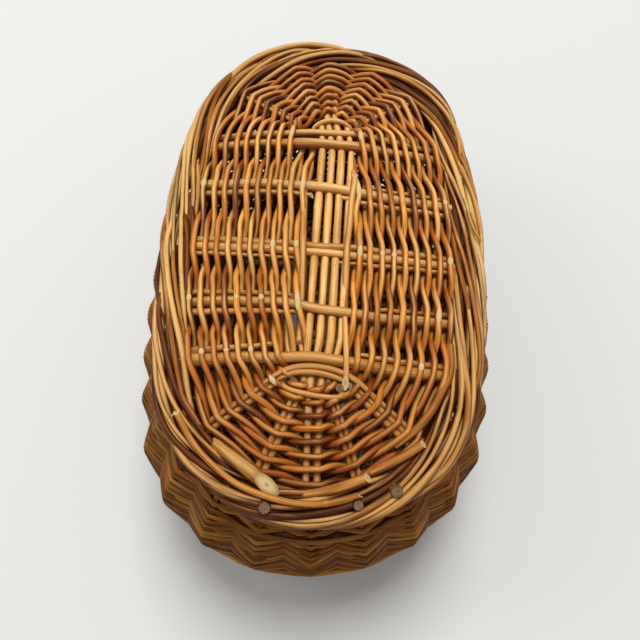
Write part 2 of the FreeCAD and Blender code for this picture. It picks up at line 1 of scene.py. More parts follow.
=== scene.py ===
import json
import math
import random

import bmesh
import bpy
import numpy as np
from mathutils import Matrix, Vector


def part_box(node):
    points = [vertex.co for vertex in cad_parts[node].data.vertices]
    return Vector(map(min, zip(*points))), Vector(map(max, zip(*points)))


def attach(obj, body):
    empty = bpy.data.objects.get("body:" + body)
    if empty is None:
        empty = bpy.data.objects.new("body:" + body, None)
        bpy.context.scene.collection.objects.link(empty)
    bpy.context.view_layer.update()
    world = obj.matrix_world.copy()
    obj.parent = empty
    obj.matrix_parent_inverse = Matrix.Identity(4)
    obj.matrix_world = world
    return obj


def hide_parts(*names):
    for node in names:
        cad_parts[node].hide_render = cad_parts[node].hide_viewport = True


# A willow fishing creel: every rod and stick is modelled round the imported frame
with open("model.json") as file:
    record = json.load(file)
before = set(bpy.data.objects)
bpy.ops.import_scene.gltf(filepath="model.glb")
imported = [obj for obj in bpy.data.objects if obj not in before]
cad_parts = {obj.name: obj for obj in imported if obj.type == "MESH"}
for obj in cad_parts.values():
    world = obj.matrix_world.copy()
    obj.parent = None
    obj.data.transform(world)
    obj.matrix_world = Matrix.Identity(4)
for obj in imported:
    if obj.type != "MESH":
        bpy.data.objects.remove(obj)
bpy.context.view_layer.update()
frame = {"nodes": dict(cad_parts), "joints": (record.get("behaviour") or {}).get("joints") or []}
mm = 0.001
quarterTurn = math.pi / 2
halfTurn = math.pi
fullTurn = 2 * math.pi
up = Vector((0, 0, 1))
print("frame loaded")


def clamped(value):
    return min(max(value, 0), 1)


def eased(value):
    return value * value * (3 - 2 * value)


# Outline of the lid, seen from above: two side arcs and two end arcs
outline = {"endRadius": 110 * mm}
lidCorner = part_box("lid_border_outer")[1]
halfWidth = lidCorner.x
halfLength = lidCorner.y
endRadius = outline["endRadius"]
endCentre = halfLength - endRadius
sideTurn = 2 * math.atan2(halfWidth - endRadius, endCentre)
sideRadius = endRadius + endCentre / math.sin(sideTurn)
sideShift = sideRadius - halfWidth
sideLength = sideRadius * sideTurn
quarterLength = sideLength + endRadius * (quarterTurn - sideTurn)
roundLength = 4 * quarterLength


def outlineAt(share):  # point and outward direction at a share of the way round, from +X to +Y
    along = (share % 1) * roundLength
    number = int(along // quarterLength)
    rest = along - number * quarterLength
    if number % 2:
        rest = quarterLength - rest
    if rest <= sideLength:
        angle = rest / sideRadius
        point = Vector((sideRadius * math.cos(angle) - sideShift, sideRadius * math.sin(angle), 0))
    else:
        angle = sideTurn + (rest - sideLength) / endRadius
        point = Vector((endRadius * math.cos(angle), endCentre + endRadius * math.sin(angle), 0))
    flip = Vector((-1 if number in (1, 2) else 1, -1 if number in (2, 3) else 1, 1))
    return point * flip, Vector((math.cos(angle), math.sin(angle), 0)) * flip


def insetPoint(share, inset, height):
    point, outward = outlineAt(share)
    return point - outward * inset + up * height


def shareOfAngle(angle):  # the share where the outward direction has this angle
    quadrant = int(angle % fullTurn // quarterTurn)
    rest = angle % quarterTurn
    if quadrant % 2:
        rest = quarterTurn - rest
    along = sideRadius * min(rest, sideTurn) + endRadius * max(rest - sideTurn, 0)
    if quadrant % 2:
        along = quarterLength - along
    return (quadrant * quarterLength + along) / roundLength


def angleOfRow(y, side, inset):  # outward angle where a row of sticks meets an inset oval
    if abs(y) <= (sideRadius - inset) * math.sin(sideTurn):
        angle = math.asin(abs(y) / (sideRadius - inset))
    else:
        angle = math.asin(min((abs(y) - endCentre) / (endRadius - inset), 1))
    angle = math.copysign(angle, y)
    return angle if side > 0 else halfTurn - angle


def halfWidthAt(y, inset):
    if abs(y) <= (sideRadius - inset) * math.sin(sideTurn):
        return math.sqrt((sideRadius - inset) ** 2 - y ** 2) - sideShift
    return math.sqrt(max((endRadius - inset) ** 2 - (abs(y) - endCentre) ** 2, 0))


def insetOf(x, y):
    if abs(y) > endCentre and math.atan2(abs(y) - endCentre, abs(x)) > sideTurn:
        return endRadius - math.hypot(x, abs(y) - endCentre)
    return sideRadius - math.hypot(abs(x) + sideShift, y)


# Materials: shader nodes in a row, each fed by the ones before it
nodeSpacing = 180


def addNode(tree, kind, source=None, **values):  # source feeds the node's first socket
    node = tree.nodes.new(kind)
    node.location.x = nodeSpacing * len(tree.nodes)
    for name, value in values.items():
        if hasattr(node, name):
            setattr(node, name, value)
        else:
            node.inputs[name].default_value = value
    if source is not None:
        tree.links.new(source, node.inputs[0])
    return node


def feedSocket(tree, socket, value):  # with another socket, a colour or a number
    if isinstance(value, bpy.types.NodeSocket):
        tree.links.new(value, socket)
    elif isinstance(value, tuple):
        socket.default_value = (*value, 1)
    else:
        socket.default_value = value


def addMath(tree, operation, first, second):
    node = addNode(tree, "ShaderNodeMath", operation=operation)
    for socket, value in zip(node.inputs, (first, second)):
        feedSocket(tree, socket, value)
    return node.outputs[0]


def aboutZero(tree, source, amount):  # takes a value about one half to one about zero
    return addMath(tree, "MULTIPLY", addMath(tree, "SUBTRACT", source, 0.5), amount)


def mixColours(tree, amount, first, second, blend="MIX"):
    node = addNode(tree, "ShaderNodeMix", data_type="RGBA", blend_type=blend)
    for number, value in ((0, amount), (6, first), (7, second)):  # the colour sockets of a mix
        feedSocket(tree, node.inputs[number], value)
    return node.outputs[2]


def addRamp(tree, source, stops):
    node = addNode(tree, "ShaderNodeValToRGB", source)
    while len(node.color_ramp.elements) < len(stops):
        node.color_ramp.elements.new(0.5)
    for element, (position, colour) in zip(node.color_ramp.elements, stops):
        element.position = position
        element.color = (*colour, 1)
    return node.outputs[0]


def addStep(tree, source, between, low, high):  # an eased step from low to high
    node = addNode(tree, "ShaderNodeMapRange", source, interpolation_type="SMOOTHSTEP")
    for socket, value in zip(node.inputs[1:5], (*between, low, high)):
        socket.default_value = value
    return node.outputs[0]


def addVectorMath(tree, operation, source, *vectors):
    node = addNode(tree, "ShaderNodeVectorMath", source, operation=operation)
    for socket, vector in zip(node.inputs[1:], vectors):
        socket.default_value = vector
    return node


def splitVector(tree, source):
    return addNode(tree, "ShaderNodeSeparateXYZ", source).outputs


def readAttribute(tree, name):
    return addNode(tree, "ShaderNodeAttribute", attribute_name=name).outputs["Vector"]


def addBump(tree, shader, height, strength, depth):
    bump = addNode(tree, "ShaderNodeBump", Strength=strength, Distance=depth)
    tree.links.new(height, bump.inputs["Height"])
    tree.links.new(bump.outputs[0], shader.inputs["Normal"])


def newMaterial(name):
    material = bpy.data.materials.new(name)
    material.use_nodes = True
    return material, material.node_tree, material.node_tree.nodes["Principled BSDF"]


# Willow: long streaks, flecks, worn patches with a painted highlight on faces that point up, the ends of the
# lid darkened (painted shade at the front end) and painted shade on the rods' flanks
willow = {
    "fine": (1.3, 0.045, 5.0), "broad": (0.28, 0.022, 2.0),  # scale across the rod, along it, detail
    "patches": (0.45, 0.032, 3.0), "flecks": (1.0, 0.45, 3.0),
    "toneStops": (0.0, 0.3, 0.6, 1.0), "toneSpread": 1.1,
    "lines": [(0.34, (0.44, 0.33, 0.25)), (0.52, (1.0, 1.0, 1.0)), (0.68, (1.18, 1.16, 1.12))],
    "paintedTopHighlight": (0.72, 1.0), "offTopHighlight": -0.10, "wornAndHighlit": [(0.44, (0, 0, 0)), (0.84, (1, 1, 1))],
    "spots": [(0.66, (0, 0, 0)), (0.72, (1, 1, 1))],
    "front": (-50 * mm, -150 * mm), "back": (90 * mm, 160 * mm), "endDarkColour": (0.62, 0.46, 0.32),
    "paintedFlankShade": (0.1, 0.9), "flankShadeColour": (0.36, 0.24, 0.15),
    "smoothStop": 0.3, "roughStop": 0.75, "smoother": 0.09, "rougher": 0.12,
    "bumpDepth": 0.25 * mm, "broadBump": 1.5, "specularTint": (1.0, 0.86, 0.62, 1), "coatRoughness": 0.22,
}


def willowMaterial(name, look):
    material, tree, shader = newMaterial(name)
    grain = readAttribute(tree, "rodGrain")
    tone, hue, _ = splitVector(tree, readAttribute(tree, "rodTone"))
    coordinates = addNode(tree, "ShaderNodeTexCoord").outputs
    alongLid = splitVector(tree, coordinates["Object"])[1]
    facingUp = splitVector(tree, coordinates["Normal"])[2]
    noises = []
    for pattern in ("fine", "broad", "patches", "flecks"):  # noise drawn out along the rod
        across, along, detail = willow[pattern]
        mapping = addNode(tree, "ShaderNodeMapping", grain, Scale=(across, across, along))
        noise = addNode(tree, "ShaderNodeTexNoise", mapping.outputs[0], Scale=1.0, Detail=detail)
        noises.append(noise.outputs["Fac"])
    fine, broad, patches, flecks = noises

    shade = addMath(tree, "ADD", tone, aboutZero(tree, broad, willow["toneSpread"]))
    body = addRamp(tree, shade, list(zip(willow["toneStops"], look["tones"])))
    colour = mixColours(tree, look["streak"], body, addRamp(tree, fine, willow["lines"]), "MULTIPLY")
    # Painted highlight: faces that point up turn pale, as if lit from above; it is added to the real worn
    # patches and each rod's own rubbing
    paintedTopHighlight = addStep(tree, facingUp, willow["paintedTopHighlight"], willow["offTopHighlight"], look["paintedTopHighlight"])
    wearAndTopHighlight = addMath(tree, "ADD", addMath(tree, "ADD", patches, paintedTopHighlight), aboutZero(tree, hue, look["rubbed"]))
    wornAndHighlit = addMath(tree, "MULTIPLY", addRamp(tree, wearAndTopHighlight, willow["wornAndHighlit"]), look["wornAndHighlit"])
    colour = mixColours(tree, wornAndHighlit, colour, look["wornAndHighlightColour"])
    spots = addMath(tree, "MULTIPLY", addRamp(tree, flecks, willow["spots"]), look["fleck"])
    colour = mixColours(tree, spots, colour, look["fleckColour"])
    # Darker towards both ends of the lid: at the front end this is painted shade, where the lid faces away
    # from the light; the back end is darkened as well
    endsDarkened = [addStep(tree, alongLid, willow[end], 0, look[end]) for end in ("front", "back")]
    colour = mixColours(tree, addMath(tree, "ADD", *endsDarkened), colour, willow["endDarkColour"], "MULTIPLY")
    # Painted shade: faces that turn from straight up to the side or down are darkened, like shade on the
    # rods' flanks
    paintedFlankShade = addStep(tree, facingUp, willow["paintedFlankShade"], look["flankShade"], 0)
    colour = mixColours(tree, paintedFlankShade, colour, willow["flankShadeColour"], "MULTIPLY")
    tree.links.new(colour, shader.inputs["Base Color"])

    rough = addRamp(tree, patches, [(willow["smoothStop"], (look["rough"] - willow["smoother"],) * 3),
                                    (willow["roughStop"], (look["rough"] + willow["rougher"],) * 3)])
    tree.links.new(rough, shader.inputs["Roughness"])
    height = addMath(tree, "ADD", fine, addMath(tree, "MULTIPLY", broad, willow["broadBump"]))
    addBump(tree, shader, height, look["bump"], willow["bumpDepth"])
    for socket, value in (("Specular IOR Level", look["specular"]), ("Specular Tint", willow["specularTint"]),
                          ("Coat Weight", look["coat"]), ("Coat Roughness", willow["coatRoughness"])):
        shader.inputs[socket].default_value = value
    return material


willowLooks = {
    "weavingWillow": {
        "tones": [(0.15, 0.036, 0.004), (0.35, 0.092, 0.009), (0.60, 0.190, 0.022), (0.95, 0.40, 0.07)],
        "streak": 0.85, "wornAndHighlit": 0.78, "wornAndHighlightColour": (1.0, 0.58, 0.17), "fleck": 0.65,
        "fleckColour": (0.07, 0.022, 0.005), "rough": 0.38, "bump": 0.45, "specular": 0.35, "coat": 0.08,
        "paintedTopHighlight": 0.17, "rubbed": 0.35, "front": 0.9, "back": 0.6, "flankShade": 0.75},
    "stickWillow": {
        "tones": [(0.18, 0.058, 0.010), (0.38, 0.135, 0.022), (0.63, 0.275, 0.055), (0.97, 0.54, 0.16)],
        "streak": 0.7, "wornAndHighlit": 0.55, "wornAndHighlightColour": (0.98, 0.66, 0.26), "fleck": 0.75,
        "fleckColour": (0.08, 0.027, 0.006), "rough": 0.40, "bump": 0.4, "specular": 0.35, "coat": 0.06,
        "paintedTopHighlight": 0.18, "rubbed": 0.2, "front": 0.9, "back": 0.35, "flankShade": 0.65},
    "borderWillow": {
        "tones": [(0.06, 0.015, 0.002), (0.19, 0.054, 0.008), (0.39, 0.130, 0.018), (0.72, 0.34, 0.08)],
        "streak": 0.95, "wornAndHighlit": 0.74, "wornAndHighlightColour": (1.0, 0.63, 0.22), "fleck": 0.65,
        "fleckColour": (0.06, 0.020, 0.005), "rough": 0.45, "bump": 0.5, "specular": 0.2, "coat": 0,
        "paintedTopHighlight": 0.04, "rubbed": 0.85, "front": 0.5, "back": 0.5, "flankShade": 0.95},
    "wallWillow": {
        "tones": [(0.05, 0.014, 0.002), (0.15, 0.045, 0.006), (0.31, 0.108, 0.015), (0.60, 0.28, 0.055)],
        "streak": 0.75, "wornAndHighlit": 0.45, "wornAndHighlightColour": (0.66, 0.38, 0.11), "fleck": 0.6,
        "fleckColour": (0.05, 0.018, 0.004), "rough": 0.6, "bump": 0.45, "specular": 0.08, "coat": 0,
        "paintedTopHighlight": 0.12, "rubbed": 0.2, "front": 0.3, "back": 0, "flankShade": 0.15},
}
materials = {name: willowMaterial(name, look) for name, look in willowLooks.items()}

# Cut ends: pith, pale wood, rings and dark bark, by the distance from the rod's own middle
cutEnds = {
    "sectionSpacing": 20,  # each rod's grain lies round its own multiple of this, in x and y
    "ringScale": 0.9, "ringDetail": 3.0, "roughness": 0.75, "bump": 0.6, "bumpDepth": 0.3 * mm,
}


def cutMaterial(name, look):
    material, tree, shader = newMaterial(name)
    grain = readAttribute(tree, "rodGrain")
    half, length = cutEnds["sectionSpacing"] / 2, 10000  # the grain's z runs along the rod and isn't wrapped
    local = addVectorMath(tree, "WRAP", grain, (half, half, length), (-half, -half, 0)).outputs[0]
    section = addVectorMath(tree, "MULTIPLY", local, (1, 1, 0)).outputs[0]
    reach = addVectorMath(tree, "LENGTH", section).outputs["Value"]
    rings = addNode(tree, "ShaderNodeTexNoise", grain, Scale=cutEnds["ringScale"],
                    Detail=cutEnds["ringDetail"]).outputs["Fac"]
    place = addMath(tree, "ADD", addMath(tree, "DIVIDE", reach, look["reach"]),
                    aboutZero(tree, rings, look["uneven"]))
    tree.links.new(addRamp(tree, place, look["tones"]), shader.inputs["Base Color"])
    addBump(tree, shader, rings, cutEnds["bump"], cutEnds["bumpDepth"])
    shader.inputs["Roughness"].default_value = cutEnds["roughness"]
    return material


cutLooks = {
    "cutWood": {
        "reach": 4.4, "uneven": 0.45,
        "tones": [(0.0, (0.42, 0.24, 0.08)), (0.3, (0.78, 0.58, 0.29)), (0.62, (0.70, 0.47, 0.19)),
                  (1.0, (0.42, 0.22, 0.06))]},
    "greyWood": {
        "reach": 3.9, "uneven": 1.0,
        "tones": [(0.05, (0.07, 0.038, 0.016)), (0.20, (0.34, 0.20, 0.09)), (0.36, (0.08, 0.042, 0.017)),
                  (0.56, (0.28, 0.165, 0.07)), (0.74, (0.16, 0.085, 0.033)), (0.98, (0.04, 0.02, 0.008))]},
}
materials.update({name: cutMaterial(name, look) for name, look in cutLooks.items()})
print("materials made")


# Rods: curves through points, with their own thickness, tone and slanted cuts
rodLook = {
    "sides": {"medium": 1, "round": 2, "smooth": 3},  # bevel steps of a rod's section
    "wave": 0.04, "waveRun": 21 * mm, "ripple": 0.03, "rippleRun": 8 * mm, "ripplePhase": 2.7,
    "scar": 1.10, "scarSpacing": 140 * mm,  # leaf scars, where the rod is a little thicker
}


def smoothed(points, closed=False, passes=1):  # cuts each corner at a quarter of its runs
    for _ in range(passes):
        pairs = list(zip(points, points[1:] + points[:1] if closed else points[1:]))
        cut = [] if closed else [points[0]]
        for first, second in pairs:
            cut += [first.lerp(second, 0.25), first.lerp(second, 0.75)]
        if not closed:
            cut.append(points[-1])
        points = cut
    return points


def evenly(start, finish, steps):
    return [start + (finish - start) * step / steps for step in range(steps + 1)]


def makeRod(points, radius, tone=(0.2, 0.8), closed=False, tips=(0, 0), cuts=(0, 0)):
    # tone: a number or a range; tips: share of the thickness lost at each end; cuts: slope of the end faces
    for slope in cuts:  # each end in turn is cleared of the points that its cut would pass
        tail = [point for point in points[1:] if (point - points[0]).length > 1.1 * slope * radius]
        points = [points[0], *tail][::-1]
    tone = chance.uniform(*tone) if isinstance(tone, tuple) else tone
    return {"points": points, "radius": radius, "closed": closed, "tips": tips, "cuts": cuts, "tone": tone,
            "seed": chance.random()}


def bentRod(path, radius, **values):  # through places in millimetres, rounded at its bends
    return makeRod(smoothed([Vector(place) * mm for place in path], passes=3), radius * mm, **values)


def rodLengths(rod):
    lengths = [0.0]
    for first, second in zip(rod["points"], rod["points"][1:]):
        lengths.append(lengths[-1] + (second - first).length)
    return lengths


def rodRadii(rod):
    total = rod["lengths"][-1]
    own = random.Random(rod["seed"])
    phase = own.uniform(0, 10)
    radii = []
    for along in rod["lengths"]:
        share = along / total
        radius = rod["radius"] * (1 - rod["tips"][0] * (1 - share) ** 2 - rod["tips"][1] * share ** 2)
        if not rod["closed"]:
            wave = rodLook["wave"] * math.sin(phase + along / rodLook["waveRun"])
            turn = rodLook["ripplePhase"] * phase + along / rodLook["rippleRun"]
            radius *= 1 + wave + rodLook["ripple"] * math.sin(turn)
        radii.append(radius)
    if not rod["closed"]:
        for _ in range(int(total / rodLook["scarSpacing"])):
            radii[own.randrange(len(radii))] *= rodLook["scar"]
    return radii


def sweepRods(name, rods, bevelSteps):  # one mesh with a tube for each rod
    curve = bpy.data.curves.new(name, "CURVE")
    curve.dimensions = "3D"
    curve.fill_mode = "FULL"
    curve.bevel_depth = 1.0
    curve.bevel_resolution = bevelSteps
    curve.use_fill_caps = True
    curve.twist_mode = "MINIMUM"
    for rod in rods:
        spline = curve.splines.new("POLY")
        spline.points.add(len(rod["points"]) - 1)
        spline.points.foreach_set("co", [number for point in rod["points"] for number in (*point, 1)])
        spline.points.foreach_set("radius", rod["radii"])
        spline.use_cyclic_u = rod["closed"]
    holder = bpy.data.objects.new(name + "_curve", curve)
    mesh = bpy.data.meshes.new_from_object(holder)
    bpy.data.objects.remove(holder)
    bpy.data.curves.remove(curve)
    mesh.name = name
    return mesh


def closeEnds(mesh, rods, ring):  # welds the end faces to their tubes and slants them
    ends = []
    offset = 0
    for rod in rods:
        if not rod["closed"]:
            ends.append((offset, len(rod["points"]), rod))
        offset += len(rod["points"]) * ring
    caps = 2 * ring * len(ends)  # the end faces come first, the last rod's first
    bm = bmesh.new()
    bm.from_mesh(mesh)
    bm.verts.ensure_lookup_table()
    tube = bm.verts[caps:]
    target = {}
    for place, (first, count, rod) in enumerate(reversed(ends)):
        for end, row in enumerate((count - 1, 0)):
            for corner in range(ring):
                cap = bm.verts[(2 * place + end) * ring + corner]
                target[cap] = tube[first + row * ring + corner]
    flats = [face for face in bm.faces if face.verts[0].index < caps]
    for first, count, rod in ends:  # a slanted cut shears the end ring along the rod
        for row, near, slope in ((0, 1, rod["cuts"][0]), (count - 1, count - 2, rod["cuts"][1])):
            if not slope:
                continue
            centre = rod["points"][row]
            along = (centre - rod["points"][near]).normalized()
            side = (up - along * up.dot(along)).normalized()
            for corner in range(ring):
                vertex = tube[first + row * ring + corner]
                vertex.co -= along * slope * (vertex.co - centre).dot(side)
    for face in flats:
        face.material_index = 1
    bmesh.ops.weld_verts(bm, targetmap=target)
    for edge in bm.edges:
        if len({face.material_index for face in edge.link_faces}) > 1:
            edge.smooth = False
    bm.to_mesh(mesh)
    bm.free()


def markRods(mesh, rods, ring):  # where each point lies in its rod, and the rod's own tones
    grains, tones = [], []
    spacing = cutEnds["sectionSpacing"]
    for rod in rods:
        own = random.Random(rod["seed"] + 1)
        left, low, start = spacing * own.randrange(20), spacing * own.randrange(20), own.uniform(0, 400)
        hue = own.random()
        for along, radius in zip(rod["lengths"], rod["radii"]):
            for corner in range(ring):
                angle = fullTurn * corner / ring
                across, over = radius / mm * math.cos(angle), radius / mm * math.sin(angle)
                grains.append((left + across, low + over, start + along / mm))
                tones.append((rod["tone"], hue, along / rod["lengths"][-1]))
    for label, values in (("rodGrain", grains), ("rodTone", tones)):
        layer = mesh.attributes.new(label, "FLOAT_VECTOR", "POINT")
        layer.data.foreach_set("vector", np.array(values, np.float32).ravel())


def buildRods(name, rods, material, body, replaced, sides="round", cut="cutWood"):
    for rod in rods:
        rod["lengths"] = rodLengths(rod)
        rod["radii"] = rodRadii(rod)
    bevelSteps = rodLook["sides"][sides]
    ring = 4 + 2 * bevelSteps
    mesh = sweepRods(name, rods, bevelSteps)
    closeEnds(mesh, rods, ring)
    markRods(mesh, rods, ring)
    mesh.materials.append(materials[material])
    mesh.materials.append(materials[cut])
    piece = bpy.data.objects.new(name, mesh)
    bpy.context.scene.collection.objects.link(piece)
    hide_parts(*replaced)
    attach(piece, body)
    print(name, len(rods), "rods", len(mesh.polygons), "faces")


def buildLidStick(name, rods):
    buildRods(name, rods, "stickWillow", "lid", [name], "smooth")


# Lid panel: a low dome of cross sticks, long sticks and fans
panel = {
    "edgeDrop": 7 * mm,          # the panel's edge lies below the top of the inner border
    "rise": 9 * mm, "run": 75 * mm, "edgeInset": 25.1 * mm,
    "stickEnd": 20.3 * mm,       # the sticks end inside the inner border
}
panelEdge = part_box("lid_border_inner")[1].z - panel["edgeDrop"]


def domeHeight(inset):
    share = min(max((inset - panel["edgeInset"]) / panel["run"], -0.2), 1)
    return panelEdge + panel["rise"] * math.sin(share * quarterTurn)


# Each row: its sticks from left to right, in millimetres; open ends run on into the border
rows = {
    "lid_cross_sticks_1": [
        {"path": [(-86, 86), (-43, 86.2), (3, 84.6), (46, 81.8), (81, 80.7)], "radius": 4.0},
        {"path": [(-87, 95.6), (-17, 95.5), (29, 95.8), (74, 89.5)], "radius": 3.1}],
    "lid_cross_sticks_2": [
        {"path": [(-94, 49.3), (-35, 46.3), (10, 42.2), (48, 36.7), (90, 36)], "radius": 4.1, "paler": 0.25},
        {"path": [(-89, 40.2), (-30, 38.6), (-9, 36)], "radius": 3.0, "open": "left"},
        {"path": [(30, 46.3), (51, 43.6), (87, 42.9)], "radius": 1.9, "open": "right"},
        {"path": [(12, 35), (30, 31.2), (49, 29.2), (90, 28.5)], "radius": 2.3, "open": "right"}],
    "lid_cross_sticks_3": [
        {"path": [(-95, 0.3), (-36, -5.2), (2, -7.9), (38, -9.2), (84, -9.4)], "radius": 2.9},
        {"path": [(-95, -5.9), (-35, -11.3), (2, -13.9), (41, -15.7), (91, -15.4)], "radius": 3.5,
         "paler": 0.25},
        {"path": [(-90, -11.4), (-50, -15.6), (-19, -17.8)], "radius": 1.8, "open": "left"},
        {"path": [(12, -20.4), (40, -21.4), (90, -20.8)], "radius": 1.9, "open": "right"}],
    "lid_cross_sticks_4": [
        {"path": [(-90, -43.6), (-28, -46.7), (-19, -47.4)], "radius": 2.5, "open": "left"},
        {"path": [(-89, -51.2), (-27, -53), (0, -57.6), (22, -60.6), (44, -62), (92, -61)], "radius": 4.1},
        {"path": [(-88, -58.8), (-40, -59.5), (-16, -60.4)], "radius": 2.5, "open": "left"},
        {"path": [(40, -55.4), (60, -55.4), (92, -54.6)], "radius": 2.3, "open": "right"}],
    "lid_cross_sticks_5": [
        {"path": [(-87, -94.2), (-47, -93.9), (1, -93.6), (44, -99), (80, -99.6)], "radius": 4.7,
         "paler": 0.35},
        {"path": [(-85, -87.4), (-45, -85.6), (-28, -83.6)], "radius": 2.7, "open": "left"},
        {"path": [(26, -89.6), (54, -92.3), (80, -92.8)], "radius": 2.3, "open": "right"}],
}
crossSticks = {
    "steps": 30, "wave": 0.3 * mm, "waveStep": 0.9, "tone": (0.25, 0.7), "openCut": 0.6, "openTip": 0.3,
    "wholeTip": 0.12,
    "hump": 1.3 * mm, "humpMiddle": 4 * mm, "humpHalf": 34 * mm,  # they ride up over the long sticks
    "humpRadius": 4,                                              # of a stick that rides up by the whole hump
}


def stickY(stick, x):  # a stick's place along the lid at x
    path = stick["path"]
    for (x0, y0), (x1, y1) in zip(path, path[1:]):
        if x / mm <= x1:
            break
    return (y0 + (y1 - y0) * clamped((x / mm - x0) / (x1 - x0))) * mm


def stickReach(stick):  # the stick's two ends across the lid
    ends = []
    for side, sign, (x, y) in (("left", -1, stick["path"][0]), ("right", 1, stick["path"][-1])):
        if stick.get("open", side) == side:
            ends.append(sign * halfWidthAt(y * mm, panel["stickEnd"]))
        else:
            ends.append(x * mm)
    return ends


def crossHump(x):
    return crossSticks["hump"] * max(0, 1 - ((x - crossSticks["humpMiddle"]) / crossSticks["humpHalf"]) ** 2)


def crossStick(stick):
    points = []
    phase = chance.uniform(0, 6)
    for step, x in enumerate(evenly(*stickReach(stick), crossSticks["steps"])):
        y = stickY(stick, x)
        wave = crossSticks["wave"] * math.sin(step * crossSticks["waveStep"] + phase)
        hump = crossHump(x) * stick["radius"] / crossSticks["humpRadius"]
        points.append(Vector((x, y + wave, domeHeight(insetOf(x, y)) + hump + 0.3 * wave)))
    cut, tip = crossSticks["openCut"], crossSticks["openTip"]
    tips = {"left": (0, tip), "right": (tip, 0)}.get(stick.get("open"), (0, crossSticks["wholeTip"]))
    tone = chance.uniform(*crossSticks["tone"]) + stick.get("paler", 0)
    return makeRod(smoothed(points), stick["radius"] * mm, tone, tips=tips,
                   cuts=(cut, cut) if "open" in stick else (0, 0))


chance = random.Random(11)
for name, sticks in rows.items():
    buildLidStick(name, [crossStick(stick) for stick in sticks])

# Long sticks: the middle two run from end to end, the outer two stop among the fans
longSticks = {
    "lid_long_stick_1": {"places": (-6.6, -2.8), "reach": (-111, 105), "radius": 3.5, "close": (-8.4, -4.6)},
    "lid_long_stick_2": {"places": (1.0, 4.8), "reach": (-179, 179), "radius": 3.3, "close": (-4.6, 0.2)},
    "lid_long_stick_3": {"places": (8.2, 12.1), "reach": (-179, 179), "radius": 3.4, "close": (2.2, 6.0)},
    "lid_long_stick_4": {"places": (14.8, 19.6), "reach": (-110, 106), "radius": 2.9, "close": (6.6, 14)},
}
longRuns = {
    "steps": 90, "lift": 0.5 * mm,
    "leanFrom": -75 * mm, "leanRun": 145 * mm,    # the sticks lean between the rows
    "closeFrom": 76 * mm, "closeRun": 42 * mm,    # and close on the axis past them
    "dip": 2.4 * mm, "dipHalf": 13 * mm,          # each passes under the rows
    "rod": {"tone": (0.75, 1), "cuts": (0.5, 0.5), "tips": (0.3, 0.2)},
}


def longStickX(stick, y):
    near, far = (place * mm for place in stick["places"])
    lean = near + (far - near) * (y - longRuns["leanFrom"]) / longRuns["leanRun"]
    closing = clamped((abs(y) - longRuns["closeFrom"]) / longRuns["closeRun"])
    closed = stick["close"][1 if y > 0 else 0] * mm
    return lean + (closed - lean) * eased(closing)


def longStickDip(x, y):
    dip = 0
    for sticks in rows.values():
        whole = next(stick for stick in sticks if "open" not in stick)
        dip = max(dip, 1 - ((y - stickY(whole, x)) / longRuns["dipHalf"]) ** 2)
    return longRuns["dip"] * dip


for name, stick in longSticks.items():
    points = []
    for y in evenly(*(end * mm for end in stick["reach"]), longRuns["steps"]):
        x = longStickX(stick, y)
        points.append(Vector((x, y, domeHeight(insetOf(x, y)) - longStickDip(x, y) + longRuns["lift"])))
    buildLidStick(name, [makeRod(points, stick["radius"] * mm, **longRuns["rod"])])

# Fans at the ends: turn from the long axis in degrees, and start from the end arc's centre
fans = {
    "lid_fan_stick_front_outer_left": {"turn": -54, "start": 28, "end": -1, "rods": 2, "radius": 2.5},
    "lid_fan_stick_front_inner_left": {"turn": -23.5, "start": 31, "end": -1, "rods": 2, "radius": 2.5},
    "lid_fan_stick_front_inner_right": {"turn": 19, "start": 33, "end": -1, "rods": 2, "radius": 2.0},
    "lid_fan_stick_front_outer_right": {"turn": 49, "start": 23, "end": -1, "rods": 3, "radius": 2.2},
    "lid_fan_stick_back_outer_left": {"turn": -52.5, "start": 30, "end": 1, "rods": 2, "radius": 2.1},
    "lid_fan_stick_back_inner_left": {"turn": -19, "start": 34, "end": 1, "rods": 2, "radius": 2.1},
    "lid_fan_stick_back_inner_right": {"turn": 26.5, "start": 34, "end": 1, "rods": 2, "radius": 2.1},
    "lid_fan_stick_back_outer_right": {"turn": 53, "start": 34, "end": 1, "rods": 2, "radius": 2.1},
}
fanRods = {
    "steps": 14, "spacing": 1.9,  # in rod radii, at the border
    "gathered": 0.75,             # share of the spacing where the rods start
    "rod": {"tone": (0.5, 0.9), "cuts": (1.6, 0), "tips": (0.25, 0)},
}


def fanStick(fan, number):
    angle = math.radians(fan["turn"])
    direction = Vector((math.sin(angle), fan["end"] * math.cos(angle), 0))
    across = Vector((direction.y, -direction.x, 0))
    spread = (number - (fan["rods"] - 1) / 2) * fanRods["spacing"] * fan["radius"] * mm
    start = fan["start"] * mm
    points = []
    for step in range(fanRods["steps"] + 1):
        share = step / fanRods["steps"]
        reach = start + (endRadius - panel["stickEnd"] - start) * share
        gathered = fanRods["gathered"] + (1 - fanRods["gathered"]) * share
        place = direction * reach + across * spread * gathered
        x, y = place.x, place.y + fan["end"] * endCentre
        points.append(Vector((x, y, domeHeight(insetOf(x, y)))))
    return makeRod(points, fan["radius"] * mm, **fanRods["rod"])


for name, fan in fans.items():
    buildLidStick(name, [fanStick(fan, number) for number in range(fan["rods"])])
print("sticks of the lid made")


